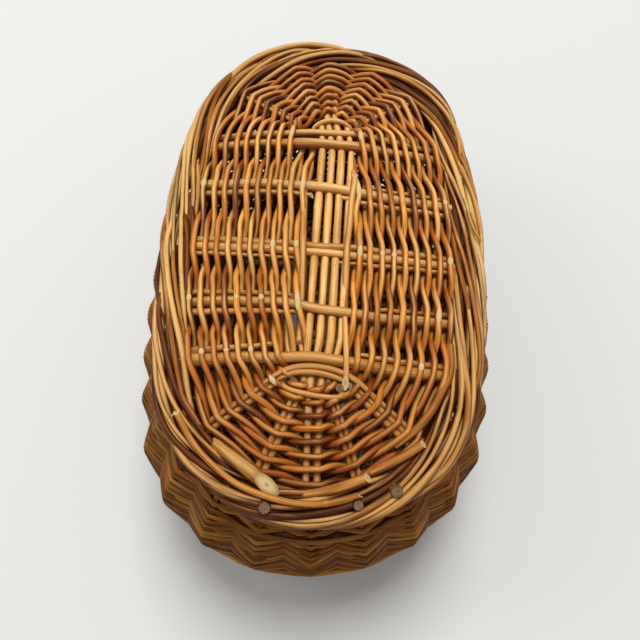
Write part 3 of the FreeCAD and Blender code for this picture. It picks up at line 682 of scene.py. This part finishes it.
# Pairing: two rods to a round, each over one group of sticks and under the next
weave = {
    "rodRadius": 2.12 * mm, "pitch": 8.2 * mm, "firstInset": 27.1 * mm, "rounds": 8,
    "swing": 1.9 * mm, "phase": math.radians(64), "jitter": 0.55 * mm, "touch": 1.2 * mm, "bulge": 0.25 * mm,
    "fanHalf": 2.2 * mm, "fanRadius": 2.2 * mm,
    "middleHalf": 4.6 * mm, "middleRadius": 3.3 * mm, "middleLeans": {1: 1.2, -1: 1.0},  # by end, in degrees
    "spread": (0.90, 1.06), "tone": (0.1, 0.95),
}


def rowGroup(sticks, side, inset):  # the extent of a row's sticks where a round crosses them
    x = side * halfWidthAt(sticks[0]["path"][0][1] * mm, inset)
    low, high, radius = 1, -1, 0
    for stick in sticks:
        start, finish = stickReach(stick)
        if start <= x <= finish:
            y = stickY(stick, x)
            low = min(low, y - stick["radius"] * mm)
            high = max(high, y + stick["radius"] * mm)
            radius = max(radius, stick["radius"] * mm)
    angle = angleOfRow((low + high) / 2, side, inset)
    return shareOfAngle(angle), (high - low) / 2 - weave["touch"], radius


def stickGroups(inset):  # where each group of sticks crosses the round: share, half width, stick radius
    groups = [rowGroup(sticks, side, inset) for sticks in rows.values() for side in (-1, 1)]
    for fan in fans.values():
        turn = math.radians(fan["turn"])
        angle = quarterTurn - turn if fan["end"] > 0 else turn - quarterTurn
        groups.append((shareOfAngle(angle), weave["fanHalf"], weave["fanRadius"]))
    for end, lean in weave["middleLeans"].items():
        angle = end * (quarterTurn - math.radians(lean))
        groups.append((shareOfAngle(angle), weave["middleHalf"], weave["middleRadius"]))
    return sorted(groups)


def pairingPoints(groups, inset, strand, level, radius, closed=True, tops=None):
    last = len(groups) - 1
    swing = weave["swing"]
    points, sides, rises = [], [], []
    for number, (_, _, stick) in enumerate(groups):  # an open rod tucks its ends under the sticks
        sides.append(1 if (number + strand) % 2 else -1)
        tucked = not closed and number in (0, last)
        rises.append((-1 if tucked else sides[-1]) * (stick + radius))
    for number, (share, half, _) in enumerate(groups):
        side, rise = sides[number], rises[number]
        jitter = chance.uniform(-1, 1) * weave["jitter"]
        lateral = inset - side * swing * math.cos(weave["phase"]) + jitter
        for step in (-1, 0, 1):
            bulge = 0 if step else math.copysign(weave["bulge"], rise)
            points.append(insetPoint(share + step * half / roundLength, lateral, level(inset) + rise + bulge))
        if tops is not None and rise > 0:
            tops.append((points[-2], (points[-1] - points[-3]).normalized(), radius))
        if number == last and not closed:
            break
        following = 0 if number == last else number + 1
        nextShare, nextHalf, _ = groups[following]
        nextShare += 1 if number == last else 0
        leave = insetPoint(share + half / roundLength, inset, level(inset))
        arrive = insetPoint(nextShare - nextHalf / roundLength, inset, level(inset))
        outward = outlineAt((share + nextShare) / 2)[1]
        for progress in (0.25, 0.5, 0.75):
            theta = progress * halfTurn
            sideways = side * swing * math.cos(theta + weave["phase"]) - jitter * (1 - progress)
            climb = rise + (rises[following] - rise) * (1 - math.cos(theta)) / 2
            points.append(leave.lerp(arrive, progress) + outward * sideways + up * climb)
    return points


chance = random.Random(23)
rods, tops = [], []
for number in range(weave["rounds"]):
    inset = weave["firstInset"] + number * weave["pitch"]
    groups = stickGroups(inset)
    for strand in (0, 1):
        radius = weave["rodRadius"] * chance.uniform(*weave["spread"])
        points = pairingPoints(groups, inset, strand, domeHeight, radius, tops=tops)
        rods.append(makeRod(smoothed(points, closed=True), radius, weave["tone"], closed=True))
buildRods("lid_weaving", rods, "weavingWillow", "lid", ["lid_weave_upper", "lid_weave_lower"],
          "smooth")

# Side rods inside the full rounds: they end on the outermost rows with slanted cuts
sideRods = {
    "insets": {-1: (92.6 * mm, 101.2 * mm), 1: (92.2 * mm,)},  # by side of the lid
    "spread": (0.95, 1.1), "rod": {"tone": (0.4, 0.9), "cuts": (1.8, 1.8)},
}
rods = []
for side, insets in sideRods["insets"].items():
    for inset in insets:
        groups = [rowGroup(sticks, side, inset) for sticks in rows.values()]
        groups.sort(key=lambda group: (group[0] + 0.25 * side + 0.25) % 1)  # from end row to end row
        for strand in (0, 1):
            radius = weave["rodRadius"] * chance.uniform(*sideRods["spread"])
            points = pairingPoints(groups, inset, strand, domeHeight, radius, closed=False, tops=tops)
            rods.append(makeRod(smoothed(points), radius, **sideRods["rod"]))
buildRods("lid_side_weaving", rods, "weavingWillow", "lid", [], "smooth")

# Bare wood where a rod was nicked or rubbed through as it bends over a stick
nicks = {
    "places": [  # x, y and length in millimetres
        (17, -12, 15), (27, -16, 9), (22, 40, 17), (-7, 41, 15), (-13, 41, 11), (44, -16, 9), (54, -15, 8),
        (-21, -8, 9), (-38, -20, 11), (-17, -56, 16), (-36, -54, 8), (-42, -94, 9), (-27, -110, 8),
        (-14, 92, 14), (23, 94, 13), (-88, 47, 12), (-60, 47, 8), (-89, -51, 11), (-60, -52, 8),
        (84, -58, 14), (66, -100, 10), (90, -10, 12), (-75, -94, 9), (-58, -93, 7), (-30, 46, 7),
        (88, 38, 8)],
    "lift": 0.45 * mm, "thickness": 1.6, "steps": 8,
    "rod": {"tips": (0.8, 0.8), "cuts": (0.8, 0.8), "tone": 0.9},
}
rods = []
for x, y, length in nicks["places"]:
    place = Vector((x, y)) * mm
    point, along, radius = min(tops, key=lambda top: (top[0].xy - place).length)
    points = [point + up * nicks["lift"] + along * length * mm * (part / nicks["steps"] - 0.5)
              for part in range(nicks["steps"] + 1)]
    rods.append(makeRod(points, radius * nicks["thickness"], **nicks["rod"]))
buildRods("lid_nicks", rods, "cutWood", "lid", [])
print("lid woven")


# Bow sticks across the long sticks, and a thin stick beside them on each side
bows = {
    "lid_bow_sticks_front": [
        [(-36, -113, 185.5), (-29, -107.8, 189), (-20.7, -103.3, 191.6), (-11.2, -100.9, 192.6),
         (1.6, -100.9, 193), (14.4, -103.8, 192.8), (22.2, -107.4, 192), (28.6, -111.5, 190.6),
         (34.5, -116.8, 188.4), (38, -121, 186)],
        [(-27, -110.4, 187.5), (-18.7, -106, 191), (-11.1, -104.6, 192), (1.7, -104.9, 192.4),
         (14.6, -108.2, 191.8), (21, -112, 190)],
        [(-23.5, -109.5, 186), (-21.5, -113.4, 189), (-16.8, -116.6, 190.4), (-7.9, -118.9, 191.2),
         (2.2, -120.6, 191.4), (13.5, -121, 191), (19.6, -118, 189.4), (22, -114, 186.5)]],
    "lid_bow_sticks_back": [
        [(-11.5, 99.4, 186), (-8, 102.4, 189.6), (-1, 105, 191.8), (5, 105.6, 192.2), (12.5, 104.6, 191.6),
         (18.6, 102, 188.6), (20.6, 100, 186)]],
}
bowRods = {"radius": 2.55, "tone": 0.7, "cuts": (1.2, 1.2), "tips": (0.4, 0.4)}
for name, paths in bows.items():
    buildLidStick(name, [bentRod(path, **bowRods) for path in paths])

sideSticks = {
    "lid_side_stick_left": [
        (-15, 66, 184), (-14.4, 50, 186), (-14, 20, 189), (-13.5, -1, 193.8), (-13.3, -10, 194.2),
        (-13, -25, 191), (-12.8, -53, 183.8), (-12.9, -81, 184)],
    "lid_side_stick_right": [
        (22.4, 52, 193.4), (21.8, 42, 194.4), (20.5, 30, 193), (19.3, 10, 190.4), (17.6, -8, 193.6),
        (17.4, -14, 194), (17.2, -30, 191), (16.9, -57, 183.8), (16.4, -64, 183.6)],
}
sideStickRods = {"radius": 2.4, "tone": 0.62, "cuts": (1.6, 0.4)}
for name, path in sideSticks.items():
    buildLidStick(name, [bentRod(path, **sideStickRods)])

# Rods laid in near the ends: path and radius in millimetres, tone, slopes of the cuts
laidRods = [
    {"path": [(-63, -149, 177), (-55, -155.6, 182.4), (-46, -162.4, 186.6), (-38, -168.2, 188.2),
              (-27.6, -175.6, 188.4)], "radius": 4.4, "tone": 0.4, "cuts": (0, 1.9)},
    {"path": [(-88, -132, 184), (-76, -150.5, 186.2), (-64.3, -162.5, 187), (-50, -173.2, 187.4),
              (-38.8, -179, 187.6), (-20, -184.6, 187.2), (0.3, -186.5, 187), (18, -183, 185.6),
              (30, -178, 183)],
     "radius": 2.1, "tone": 1.0, "cuts": (1.2, 1.6)},
    {"path": [(88, -78, 182), (87, -100, 184), (80, -113, 184.6), (73, -126, 185), (62, -139, 184),
              (50, -148, 181)], "radius": 2.7, "tone": 0.75},
    {"path": [(30, -166, 179), (40, -162.6, 183.6), (54, -155.8, 186), (67, -147, 186.2)],
     "radius": 2.9, "tone": 0.8, "cuts": (0, 0.7)},
    {"path": [(-6, -179, 179.5), (6, -178, 184.4), (19, -174.6, 186.2), (32.5, -169, 186.2)],
     "radius": 3.1, "tone": 0.95, "cuts": (0, 0.7)},
    {"path": [(-90, 141, 178), (-78, 162.6, 182.5), (-63.8, 177.8, 183.5), (-46.4, 188.6, 184),
              (-27.6, 195.8, 184), (-9, 197, 183.6), (11.6, 194.2, 182), (28, 188.4, 178)],
     "radius": 2.7, "tone": 0.85},
    {"path": [(106, 30, 186.4), (107, 18, 188.3), (110, 8, 188.6), (113.5, 2, 188.2)],
     "radius": 0.9, "tone": 1.0, "cuts": (1, 1)},
    {"path": [(108, 27, 187), (109.4, 18, 188.5), (111, 10, 188.9)],
     "radius": 0.8, "tone": 1.0, "cuts": (1, 1)},
    {"path": [(17.2, -62, 188), (17.6, -76, 191.4), (18.1, -90, 193.6), (18.3, -99, 194), (18.2, -106, 193.8),
              (18, -111.5, 192.6)], "radius": 2.0, "tone": 1.0, "cuts": (1, 2.2)},
]
rods = [bentRod(**rod) for rod in laidRods]
buildRods("lid_laid_rods", rods, "borderWillow", "lid", [], "smooth")

# Weathered stick ends that show in the border and between the bows
buttEnds = {
    "places": [  # x, y, z and radius in millimetres
        (-28, -189.2, 188.4, 4.0), (27.1, -185.8, 188.2, 3.5), (49.8, -177, 188.2, 4.2),
        (-14.8, -110.6, 190.6, 2.6), (14.4, -114.2, 191.2, 2.9)],
    "tilt": (0.1, -0.45, 1), "depths": (6 * mm, 3 * mm, 0.7 * mm, 0), "rod": {"tone": 0.1, "tips": (0, 0.1)},
}
tilt = Vector(buttEnds["tilt"]).normalized()
rods = []
for x, y, z, radius in buttEnds["places"]:
    points = [Vector((x, y, z)) * mm - tilt * depth for depth in buttEnds["depths"]]
    rods.append(makeRod(points, radius * mm, **buttEnds["rod"]))
buildRods("lid_stick_ends", rods, "borderWillow", "lid", [], "smooth", cut="greyWood")


# Borders: bundles of long rods that wind slowly round an oval core
smallBorder = {
    "strands": 6, "turns": 3, "steps": 220, "swell": 0.03, "breaks": 3, "overlap": 2, "tone": (0.1, 0.6),
    "shade": 0, "depth": (0, 0), "spread": (0.92, 1.05), "body": "creel",
}
borders = {
    "lid_border": {
        "inset": 12.5 * mm, "height": 179.2 * mm, "across": 10.1 * mm, "upright": 5.5 * mm,
        "rodRadius": 2.8 * mm, "coreRadius": 3.2 * mm, "cores": (-6 * mm, 0, 6 * mm), "strands": 11,
        "turns": 3, "steps": 240, "wander": 0.18, "swell": 0.05, "breaks": 5, "overlap": 9,
        "tone": (0.12, 0.8), "shade": 0.15, "depth": (0, 0.45), "spread": (0.72, 1.12), "body": "lid",
        "replaced": ["lid_border_outer", "lid_border_inner"]},
    "rim_border": {
        **smallBorder, "inset": 12 * mm, "height": 165.7 * mm, "across": 3.8 * mm, "upright": 3.3 * mm,
        "rodRadius": 2.05 * mm, "coreRadius": 2.1 * mm, "cores": (0,), "wander": 0.15,
        "replaced": ["rim_border"]},
    "foot_border": {
        **smallBorder, "inset": 18 * mm, "height": 5 * mm, "across": 4.6 * mm, "upright": 2.8 * mm,
        "rodRadius": 2.1 * mm, "coreRadius": 2.0 * mm, "cores": (-2 * mm, 2 * mm), "wander": 0.12,
        "replaced": ["foot_border"]},
}
borderRods = {
    "swings": 5, "swells": 11, "sways": 7,  # waves of a rod's place on one way round
    "sink": 0.7, "spread": (0.92, 1.08), "rod": {"tips": (0.3, 0.55), "cuts": (2.2, 2.2)}, "coreShadeTone": 0.1,
    "shadeFrom": 0.2,                       # share of the half length where the shade starts
}
overLoops = {"halfRun": 58 * mm, "fade": 14 * mm, "fromX": 100 * mm, "height": 175 * mm}


def clearLoops(point, radius):  # the lid's rods lie over the hinge loops
    near = clamped((overLoops["halfRun"] - abs(point.y)) / overLoops["fade"])
    if point.x < overLoops["fromX"] or near == 0:
        return point
    lift = max(overLoops["height"] + radius - point.z, 0)
    return point + up * (lift * eased(near))


def bundleSection(look, turn):  # place in the bundle's flat round section, at even steps round it
    bend = look["upright"]
    flat = 2 * (look["across"] - bend)
    corner = quarterTurn * bend
    along = (turn / fullTurn % 1) * 2 * (flat + 2 * corner)
    side = 1  # over the top from the outer edge, then back underneath
    if along > flat + 2 * corner:
        side = -1
        along -= flat + 2 * corner
    if corner <= along <= corner + flat:
        return side * (flat / 2 + corner - along), side * bend
    centre = flat / 2 if along < corner else -flat / 2
    angle = along / bend if along < corner else quarterTurn + (along - corner - flat) / bend
    return side * (centre + bend * math.cos(angle)), side * bend * math.sin(angle)


def strandPoints(look, number):  # one strand all the way round
    start = fullTurn * number / look["strands"]
    swing, swell, sway = (chance.uniform(0, 1) for _ in range(3))
    depth = chance.uniform(*look["depth"])
    points = []
    for step in range(look["steps"]):
        share = step / look["steps"]
        turn = start + fullTurn * look["turns"] * share
        turn += look["wander"] * math.sin(fullTurn * (share * borderRods["swings"] + swing))
        across, upright = bundleSection(look, turn)
        across *= 1 + look["swell"] * math.sin(fullTurn * (share * borderRods["sways"] + sway))
        upright *= 1 - depth + look["swell"] * math.sin(fullTurn * (share * borderRods["swells"] + swell))
        point = insetPoint(share, look["inset"] - across, look["height"] + upright)
        points.append(clearLoops(point, look["rodRadius"]) if look["body"] == "lid" else point)
    return points


def bundleRods(look):
    rods = []
    steps, breaks, overlap = look["steps"], look["breaks"], look["overlap"]
    middle = [insetPoint(step / steps, look["inset"], look["height"]) for step in range(steps)]
    for number in range(look["strands"]):
        points = strandPoints(look, number)
        radius = look["rodRadius"] * chance.uniform(*look["spread"])
        offset = chance.randrange(steps)
        for part in range(breaks):  # each strand is several rods, one after another
            first = offset + steps * part // breaks
            last = offset + steps * (part + 1) // breaks + overlap
            run = []
            for step in range(first, last + 1):  # the ends dip into the bundle
                sink = borderRods["sink"] * max(1 - min(step - first, last - step) / overlap, 0) ** 2
                run.append(points[step % steps].lerp(middle[step % steps], sink))
            front = max(-run[len(run) // 2].y / halfLength - borderRods["shadeFrom"], 0)
            tone = chance.uniform(*look["tone"]) - look["shade"] * front
            rods.append(makeRod(run, radius * chance.uniform(*borderRods["spread"]), max(tone, 0),
                                **borderRods["rod"]))
    # The cores take a dark tone: painted shade in the gaps between the strands
    for shift in look["cores"]:
        core = [insetPoint(step / steps, look["inset"] + shift, look["height"]) for step in range(steps)]
        rods.append(makeRod(core, look["coreRadius"], borderRods["coreShadeTone"], closed=True))
    return rods


for name, look in borders.items():
    buildRods(name, bundleRods(look), "borderWillow", look["body"], look["replaced"])
print("borders made")


# Wall: rods that fold inward between the stakes and pass before one stake and behind the next
wall = {
    "bottom": 11.6 * mm, "top": 160 * mm, "pitch": 3.08 * mm, "rodRadius": 1.72 * mm, "crest": 3.5 * mm,
    "stakes": 32, "stakeRadius": 2.0 * mm, "stakeFoot": 8 * mm, "stakeTop": 162 * mm, "stakeSteps": 20,
    "bellyHeight": 92 * mm, "bellyReach": 14.5 * mm, "topInset": 4 * mm, "baseInset": 14 * mm,
    "topEnd": 160 * mm, "bottomEnd": 10 * mm, "thickness": 8 * mm,
    "fold": 8 * mm, "foldHeight": 125 * mm, "foldRun": 37 * mm, "endFold": 3.4 * mm, "dip": 6.6 * mm,
    "steps": (-0.5, -0.36, -0.24, -0.14, -0.07, 0, 0.07, 0.14, 0.24, 0.36),  # from stake to stake
    "dips": (0, 0, 0.04, 0.2, 0.66, 1, 0.66, 0.2, 0.04, 0),
    "hoops": (90 * mm, 151 * mm), "hoopSink": 0.6 * mm, "hoopFrom": 0.8, "hoopFade": 0.12,
    "climb": 0.1 * mm, "ripple": 0.25 * mm, "ripples": 7, "spread": (0.94, 1.04), "tone": (0.2, 0.8),
}

# Where the wall leans out further: direction in degrees, amount, height and how far up and down it fades
flares = [
    (270, 3.2 * mm, 122 * mm, 32 * mm),
    (215, 10 * mm, 102 * mm, 62 * mm),
    (338, 4 * mm, 105 * mm, 60 * mm),
]


def wallInset(height):  # middle of the wall's thickness
    if height > wall["bellyHeight"]:
        reach, rise = wall["bellyReach"] + wall["topInset"], wall["topEnd"] - wall["bellyHeight"]
    else:
        reach, rise = wall["bellyReach"] + wall["baseInset"], wall["bellyHeight"] - wall["bottomEnd"]
    bulge = (reach ** 2 + rise ** 2) / (2 * reach)
    drop = bulge - math.sqrt(bulge ** 2 - (height - wall["bellyHeight"]) ** 2)
    return drop - wall["bellyReach"] + wall["thickness"] / 2


def wallPoint(share, shift, height):
    outward = outlineAt(share)[1]
    inset = wallInset(height) - shift
    for turn, amount, middle, run in flares:
        facing = outward.x * math.cos(math.radians(turn)) + outward.y * math.sin(math.radians(turn))
        inset -= amount * max(facing, 0) ** 3 * math.exp(-((height - middle) / run) ** 2)
    return insetPoint(share, inset, height)


def foldDepth(height):  # the folds between the stakes are deepest above the belly
    away = (height - wall["foldHeight"]) / wall["foldRun"]
    return wall["endFold"] + (wall["fold"] - wall["endFold"]) * max(1 - away * away, 0)


courses = []
height, climbed = wall["bottom"], 0
while height <= wall["top"]:  # the courses lie a steady pitch apart, measured along the wall
    if climbed >= wall["pitch"] * len(courses):
        courses.append(height)
    climbed += math.hypot(wall["climb"], wallInset(height + wall["climb"]) - wallInset(height))
    height += wall["climb"]

chance = random.Random(37)
rods = []
hoops = [min(courses, key=lambda level: abs(level - height)) for height in wall["hoops"]]
for course, height in enumerate(courses):
    points = []
    phase = chance.uniform(0, 1)
    for stake in range(wall["stakes"]):
        for step, dip in zip(wall["steps"], wall["dips"]):
            share = (stake + step) / wall["stakes"]
            shift = wall["crest"]
            if height in hoops:  # a rod that bridges the folds at the front end
                front = clamped((-outlineAt(share)[1].y - wall["hoopFrom"]) / wall["hoopFade"])
                shift -= (foldDepth(height) * (1 - front) + wall["hoopSink"]) * 2 * abs(step)
            else:
                shift -= foldDepth(height) * 2 * abs(step)
                shift -= wall["dip"] * dip * ((stake + course) % 2)
            level = height + wall["ripple"] * math.sin(fullTurn * (share * wall["ripples"] + phase))
            points.append(wallPoint(share, shift, level))
    radius = wall["rodRadius"] * chance.uniform(*wall["spread"])
    rods.append(makeRod(points, radius, wall["tone"], closed=True))
wallNodes = [name for name in frame["nodes"] if name.startswith("wall")]
buildRods("wall_weaving", rods, "wallWillow", "creel", wallNodes, "medium")

rods = []
for number in range(wall["stakes"]):
    points = []
    for height in evenly(wall["stakeFoot"], wall["stakeTop"], wall["stakeSteps"]):
        level = min(max(height, wall["bottomEnd"]), wall["topEnd"])
        points.append(wallPoint(number / wall["stakes"], 0, level) + up * (height - level))
    rods.append(makeRod(points, wall["stakeRadius"]))
buildRods("wall_stakes", rods, "wallWillow", "creel", ["stakes"])
print("wall randed")


# Base: the same pattern as the lid, flat, on thicker sticks
base = {
    "height": 11 * mm, "rodRadius": 1.9 * mm, "stickEnd": 25.6 * mm, "wave": 0.2 * mm, "touch": 7.5 * mm,
    "rows": (86.4 * mm, 43.2 * mm, 0, -43.2 * mm, -86.4 * mm), "pitch": 9.3 * mm, "crossRadius": 4.2 * mm,
    "crossSteps": 20, "longSteps": 30, "fanSteps": 12, "longSticks": 5, "longPitch": 7.9 * mm,
    "longRadius": 3.4 * mm, "longPast": 22 * mm, "longTouch": 3 * mm,
    "fans": (-57.6, -22.5, 22.5, 57.6), "fanStart": 29 * mm, "fanRadius": 2.4 * mm, "fanTouch": 2 * mm,
    "tone": (0.1, 0.7),
}


def buildBaseSticks(kind, paths):
    name = "base_" + kind + "_sticks"
    rods = [makeRod(points, base[kind + "Radius"]) for points in paths]
    buildRods(name, rods, "stickWillow", "creel", [name])


paths = []
for row in base["rows"]:
    for step in (-0.5, 0.5):
        y = row + step * base["pitch"]
        reach = halfWidthAt(y, base["stickEnd"])
        paths.append([Vector((x, y + base["wave"] * math.sin(part), base["height"]))
                      for part, x in enumerate(evenly(-reach, reach, base["crossSteps"]))])
buildBaseSticks("cross", paths)
paths = []
middle = base["longSticks"] // 2
for number in range(base["longSticks"]):
    x = (number - middle) * base["longPitch"]
    reach = endCentre + (endRadius - base["stickEnd"] if number == middle else base["longPast"])
    paths.append([Vector((x, y, base["height"])) for y in evenly(-reach, reach, base["longSteps"])])
buildBaseSticks("long", paths)
paths = []
for end in (-1, 1):
    centre = Vector((0, end * endCentre, base["height"]))
    for turn in base["fans"]:
        angle = math.radians(turn)
        direction = Vector((math.sin(angle), end * math.cos(angle), 0))
        paths.append([centre + direction * reach
                      for reach in evenly(base["fanStart"], endRadius - base["stickEnd"], base["fanSteps"])])
buildBaseSticks("fan", paths)


def baseGroups(inset):
    groups = []
    for row in base["rows"]:
        for side in (-1, 1):
            groups.append((shareOfAngle(angleOfRow(row, side, inset)), base["touch"], base["crossRadius"]))
    for end in (-1, 1):
        for turn in base["fans"]:
            angle = end * (quarterTurn - math.radians(turn) * end)
            groups.append((shareOfAngle(angle), base["fanTouch"], base["fanRadius"]))
        groups.append((shareOfAngle(end * quarterTurn), base["longTouch"], base["longRadius"]))
    return sorted(groups)


def baseLevel(inset):  # the base is flat at every inset
    return base["height"]


rods = []
for number in range(weave["rounds"]):
    inset = weave["firstInset"] + number * weave["pitch"]
    for strand in (0, 1):
        points = pairingPoints(baseGroups(inset), inset, strand, baseLevel, base["rodRadius"])
        rods.append(makeRod(smoothed(points, closed=True), base["rodRadius"], base["tone"], closed=True))
buildRods("base_weaving", rods, "weavingWillow", "creel",
          ["base_weave_upper", "base_weave_lower"], "medium")
print("base woven")


# Hinge: a stick under the lid's edge, held to the rim by three willow loops
hinge = {
    "stickRadius": 2.45 * mm, "stickHalf": 45 * mm, "stickSteps": 20, "stickTone": 0.5,
    "loopRadius": 1.25 * mm, "clearance": 0.35 * mm, "loopSteps": 12, "loopTone": 0.6,
    "rimInset": 12 * mm, "rimHeight": 166 * mm,
    "loops": {"hinge_loop_front": -34 * mm, "hinge_loop_middle": 0, "hinge_loop_back": 34 * mm},
}
axis = Vector(frame["joints"][0]["pos_m"])
reach = hinge["stickHalf"]
points = [axis + Vector((0, y, 0)) for y in evenly(-reach, reach, hinge["stickSteps"])]
buildRods("hinge_stick", [makeRod(points, hinge["stickRadius"], hinge["stickTone"])], "stickWillow", "lid",
          ["hinge_stick"], "smooth")
for name, y in hinge["loops"].items():
    centre = axis + Vector((0, y, 0))
    rimPoint = Vector((halfWidth - hinge["rimInset"], centre.y, hinge["rimHeight"]))
    along = (rimPoint - centre).normalized()
    across = Vector((-along.z, 0, along.x))
    leg = (rimPoint - centre).length
    bend = hinge["stickRadius"] + hinge["clearance"] + hinge["loopRadius"]
    points = [centre + along * leg * share + across * bend for share in (1, 0.5)]
    for step in range(hinge["loopSteps"] + 1):
        angle = halfTurn * step / hinge["loopSteps"]
        points.append(centre + across * bend * math.cos(angle) - along * bend * math.sin(angle))
    points += [centre + along * leg * share - across * bend for share in (0.5, 1)]
    buildRods(name, [makeRod(points, hinge["loopRadius"], hinge["loopTone"])], "weavingWillow", "creel",
              [name])
print("hinge made")


# Floor and light
cloth = {"colour": (0.80, 0.80, 0.775, 1), "roughness": 0.9, "size": 6}
clothMaterial, _, clothShader = newMaterial("floorCloth")
clothShader.inputs["Base Color"].default_value = cloth["colour"]
clothShader.inputs["Roughness"].default_value = cloth["roughness"]
bm = bmesh.new()
bmesh.ops.create_grid(bm, x_segments=1, y_segments=1, size=cloth["size"])
floorMesh = bpy.data.meshes.new("floor")
bm.to_mesh(floorMesh)
bm.free()
floorMesh.materials.append(clothMaterial)
floor = bpy.data.objects.new("floor", floorMesh)
bpy.context.scene.collection.objects.link(floor)

surround = {"light": 0.37, "seen": 0.8}  # strength on the object, and where the world itself is seen
world = bpy.data.worlds.new("studio")
bpy.context.scene.world = world
world.use_nodes = True
rays = addNode(world.node_tree, "ShaderNodeLightPath").outputs
seen = rays["Is Camera Ray"]
for ray in ("Is Glossy Ray", "Is Transmission Ray"):
    seen = addMath(world.node_tree, "MAXIMUM", seen, rays[ray])
strength = addMath(world.node_tree, "MULTIPLY", seen, surround["seen"] - surround["light"])
background = world.node_tree.nodes["Background"]
background.inputs["Color"].default_value = (1.0, 1.0, 1.0, 1)
world.node_tree.links.new(addMath(world.node_tree, "ADD", strength, surround["light"]),
                          background.inputs["Strength"])

lamps = {
    "skyLamp": {"place": (0.1, 1.7, 5.0), "size": 2.6, "power": 185},
    "sideLamp": {"place": (-1.2, 0.1, 1.3), "size": 0.6, "power": 3},
}
creelMiddle = Vector((0, 0, 0.1))
for name, lamp in lamps.items():
    light = bpy.data.lights.new(name, "AREA")
    light.shape = "DISK"
    light.size = lamp["size"]
    light.energy = lamp["power"]
    holder = bpy.data.objects.new(name, light)
    holder.location = lamp["place"]
    holder.rotation_euler = (creelMiddle - Vector(lamp["place"])).to_track_quat("-Z", "Y").to_euler()
    bpy.context.scene.collection.objects.link(holder)
print("lamps placed")

# Camera: looks down at the near end, turned a little in its own plane
shot = {
    "place": Vector((0.47, -252.0, 573.6)) * mm, "down": 64.2, "lean": 2.11, "lens": 36, "sensor": 36,
    "clipStart": 0.01,
}
down = math.radians(shot["down"])
lean = math.radians(shot["lean"])
level = Vector((1, 0, 0))
raised = Vector((0, math.sin(down), math.cos(down)))
right = level * math.cos(lean) + raised * math.sin(lean)
top = raised * math.cos(lean) - level * math.sin(lean)
cameraData = bpy.data.cameras.new("camera")
cameraData.lens = shot["lens"]
cameraData.sensor_width = shot["sensor"]
cameraData.clip_start = shot["clipStart"]
camera = bpy.data.objects.new("camera", cameraData)
bpy.context.scene.collection.objects.link(camera)
axes = Matrix((right, top, right.cross(top))).transposed().to_4x4()
camera.matrix_world = Matrix.Translation(shot["place"]) @ axes
bpy.context.scene.camera = camera
bpy.context.scene.view_settings.view_transform = "Standard"

print("scene ready")
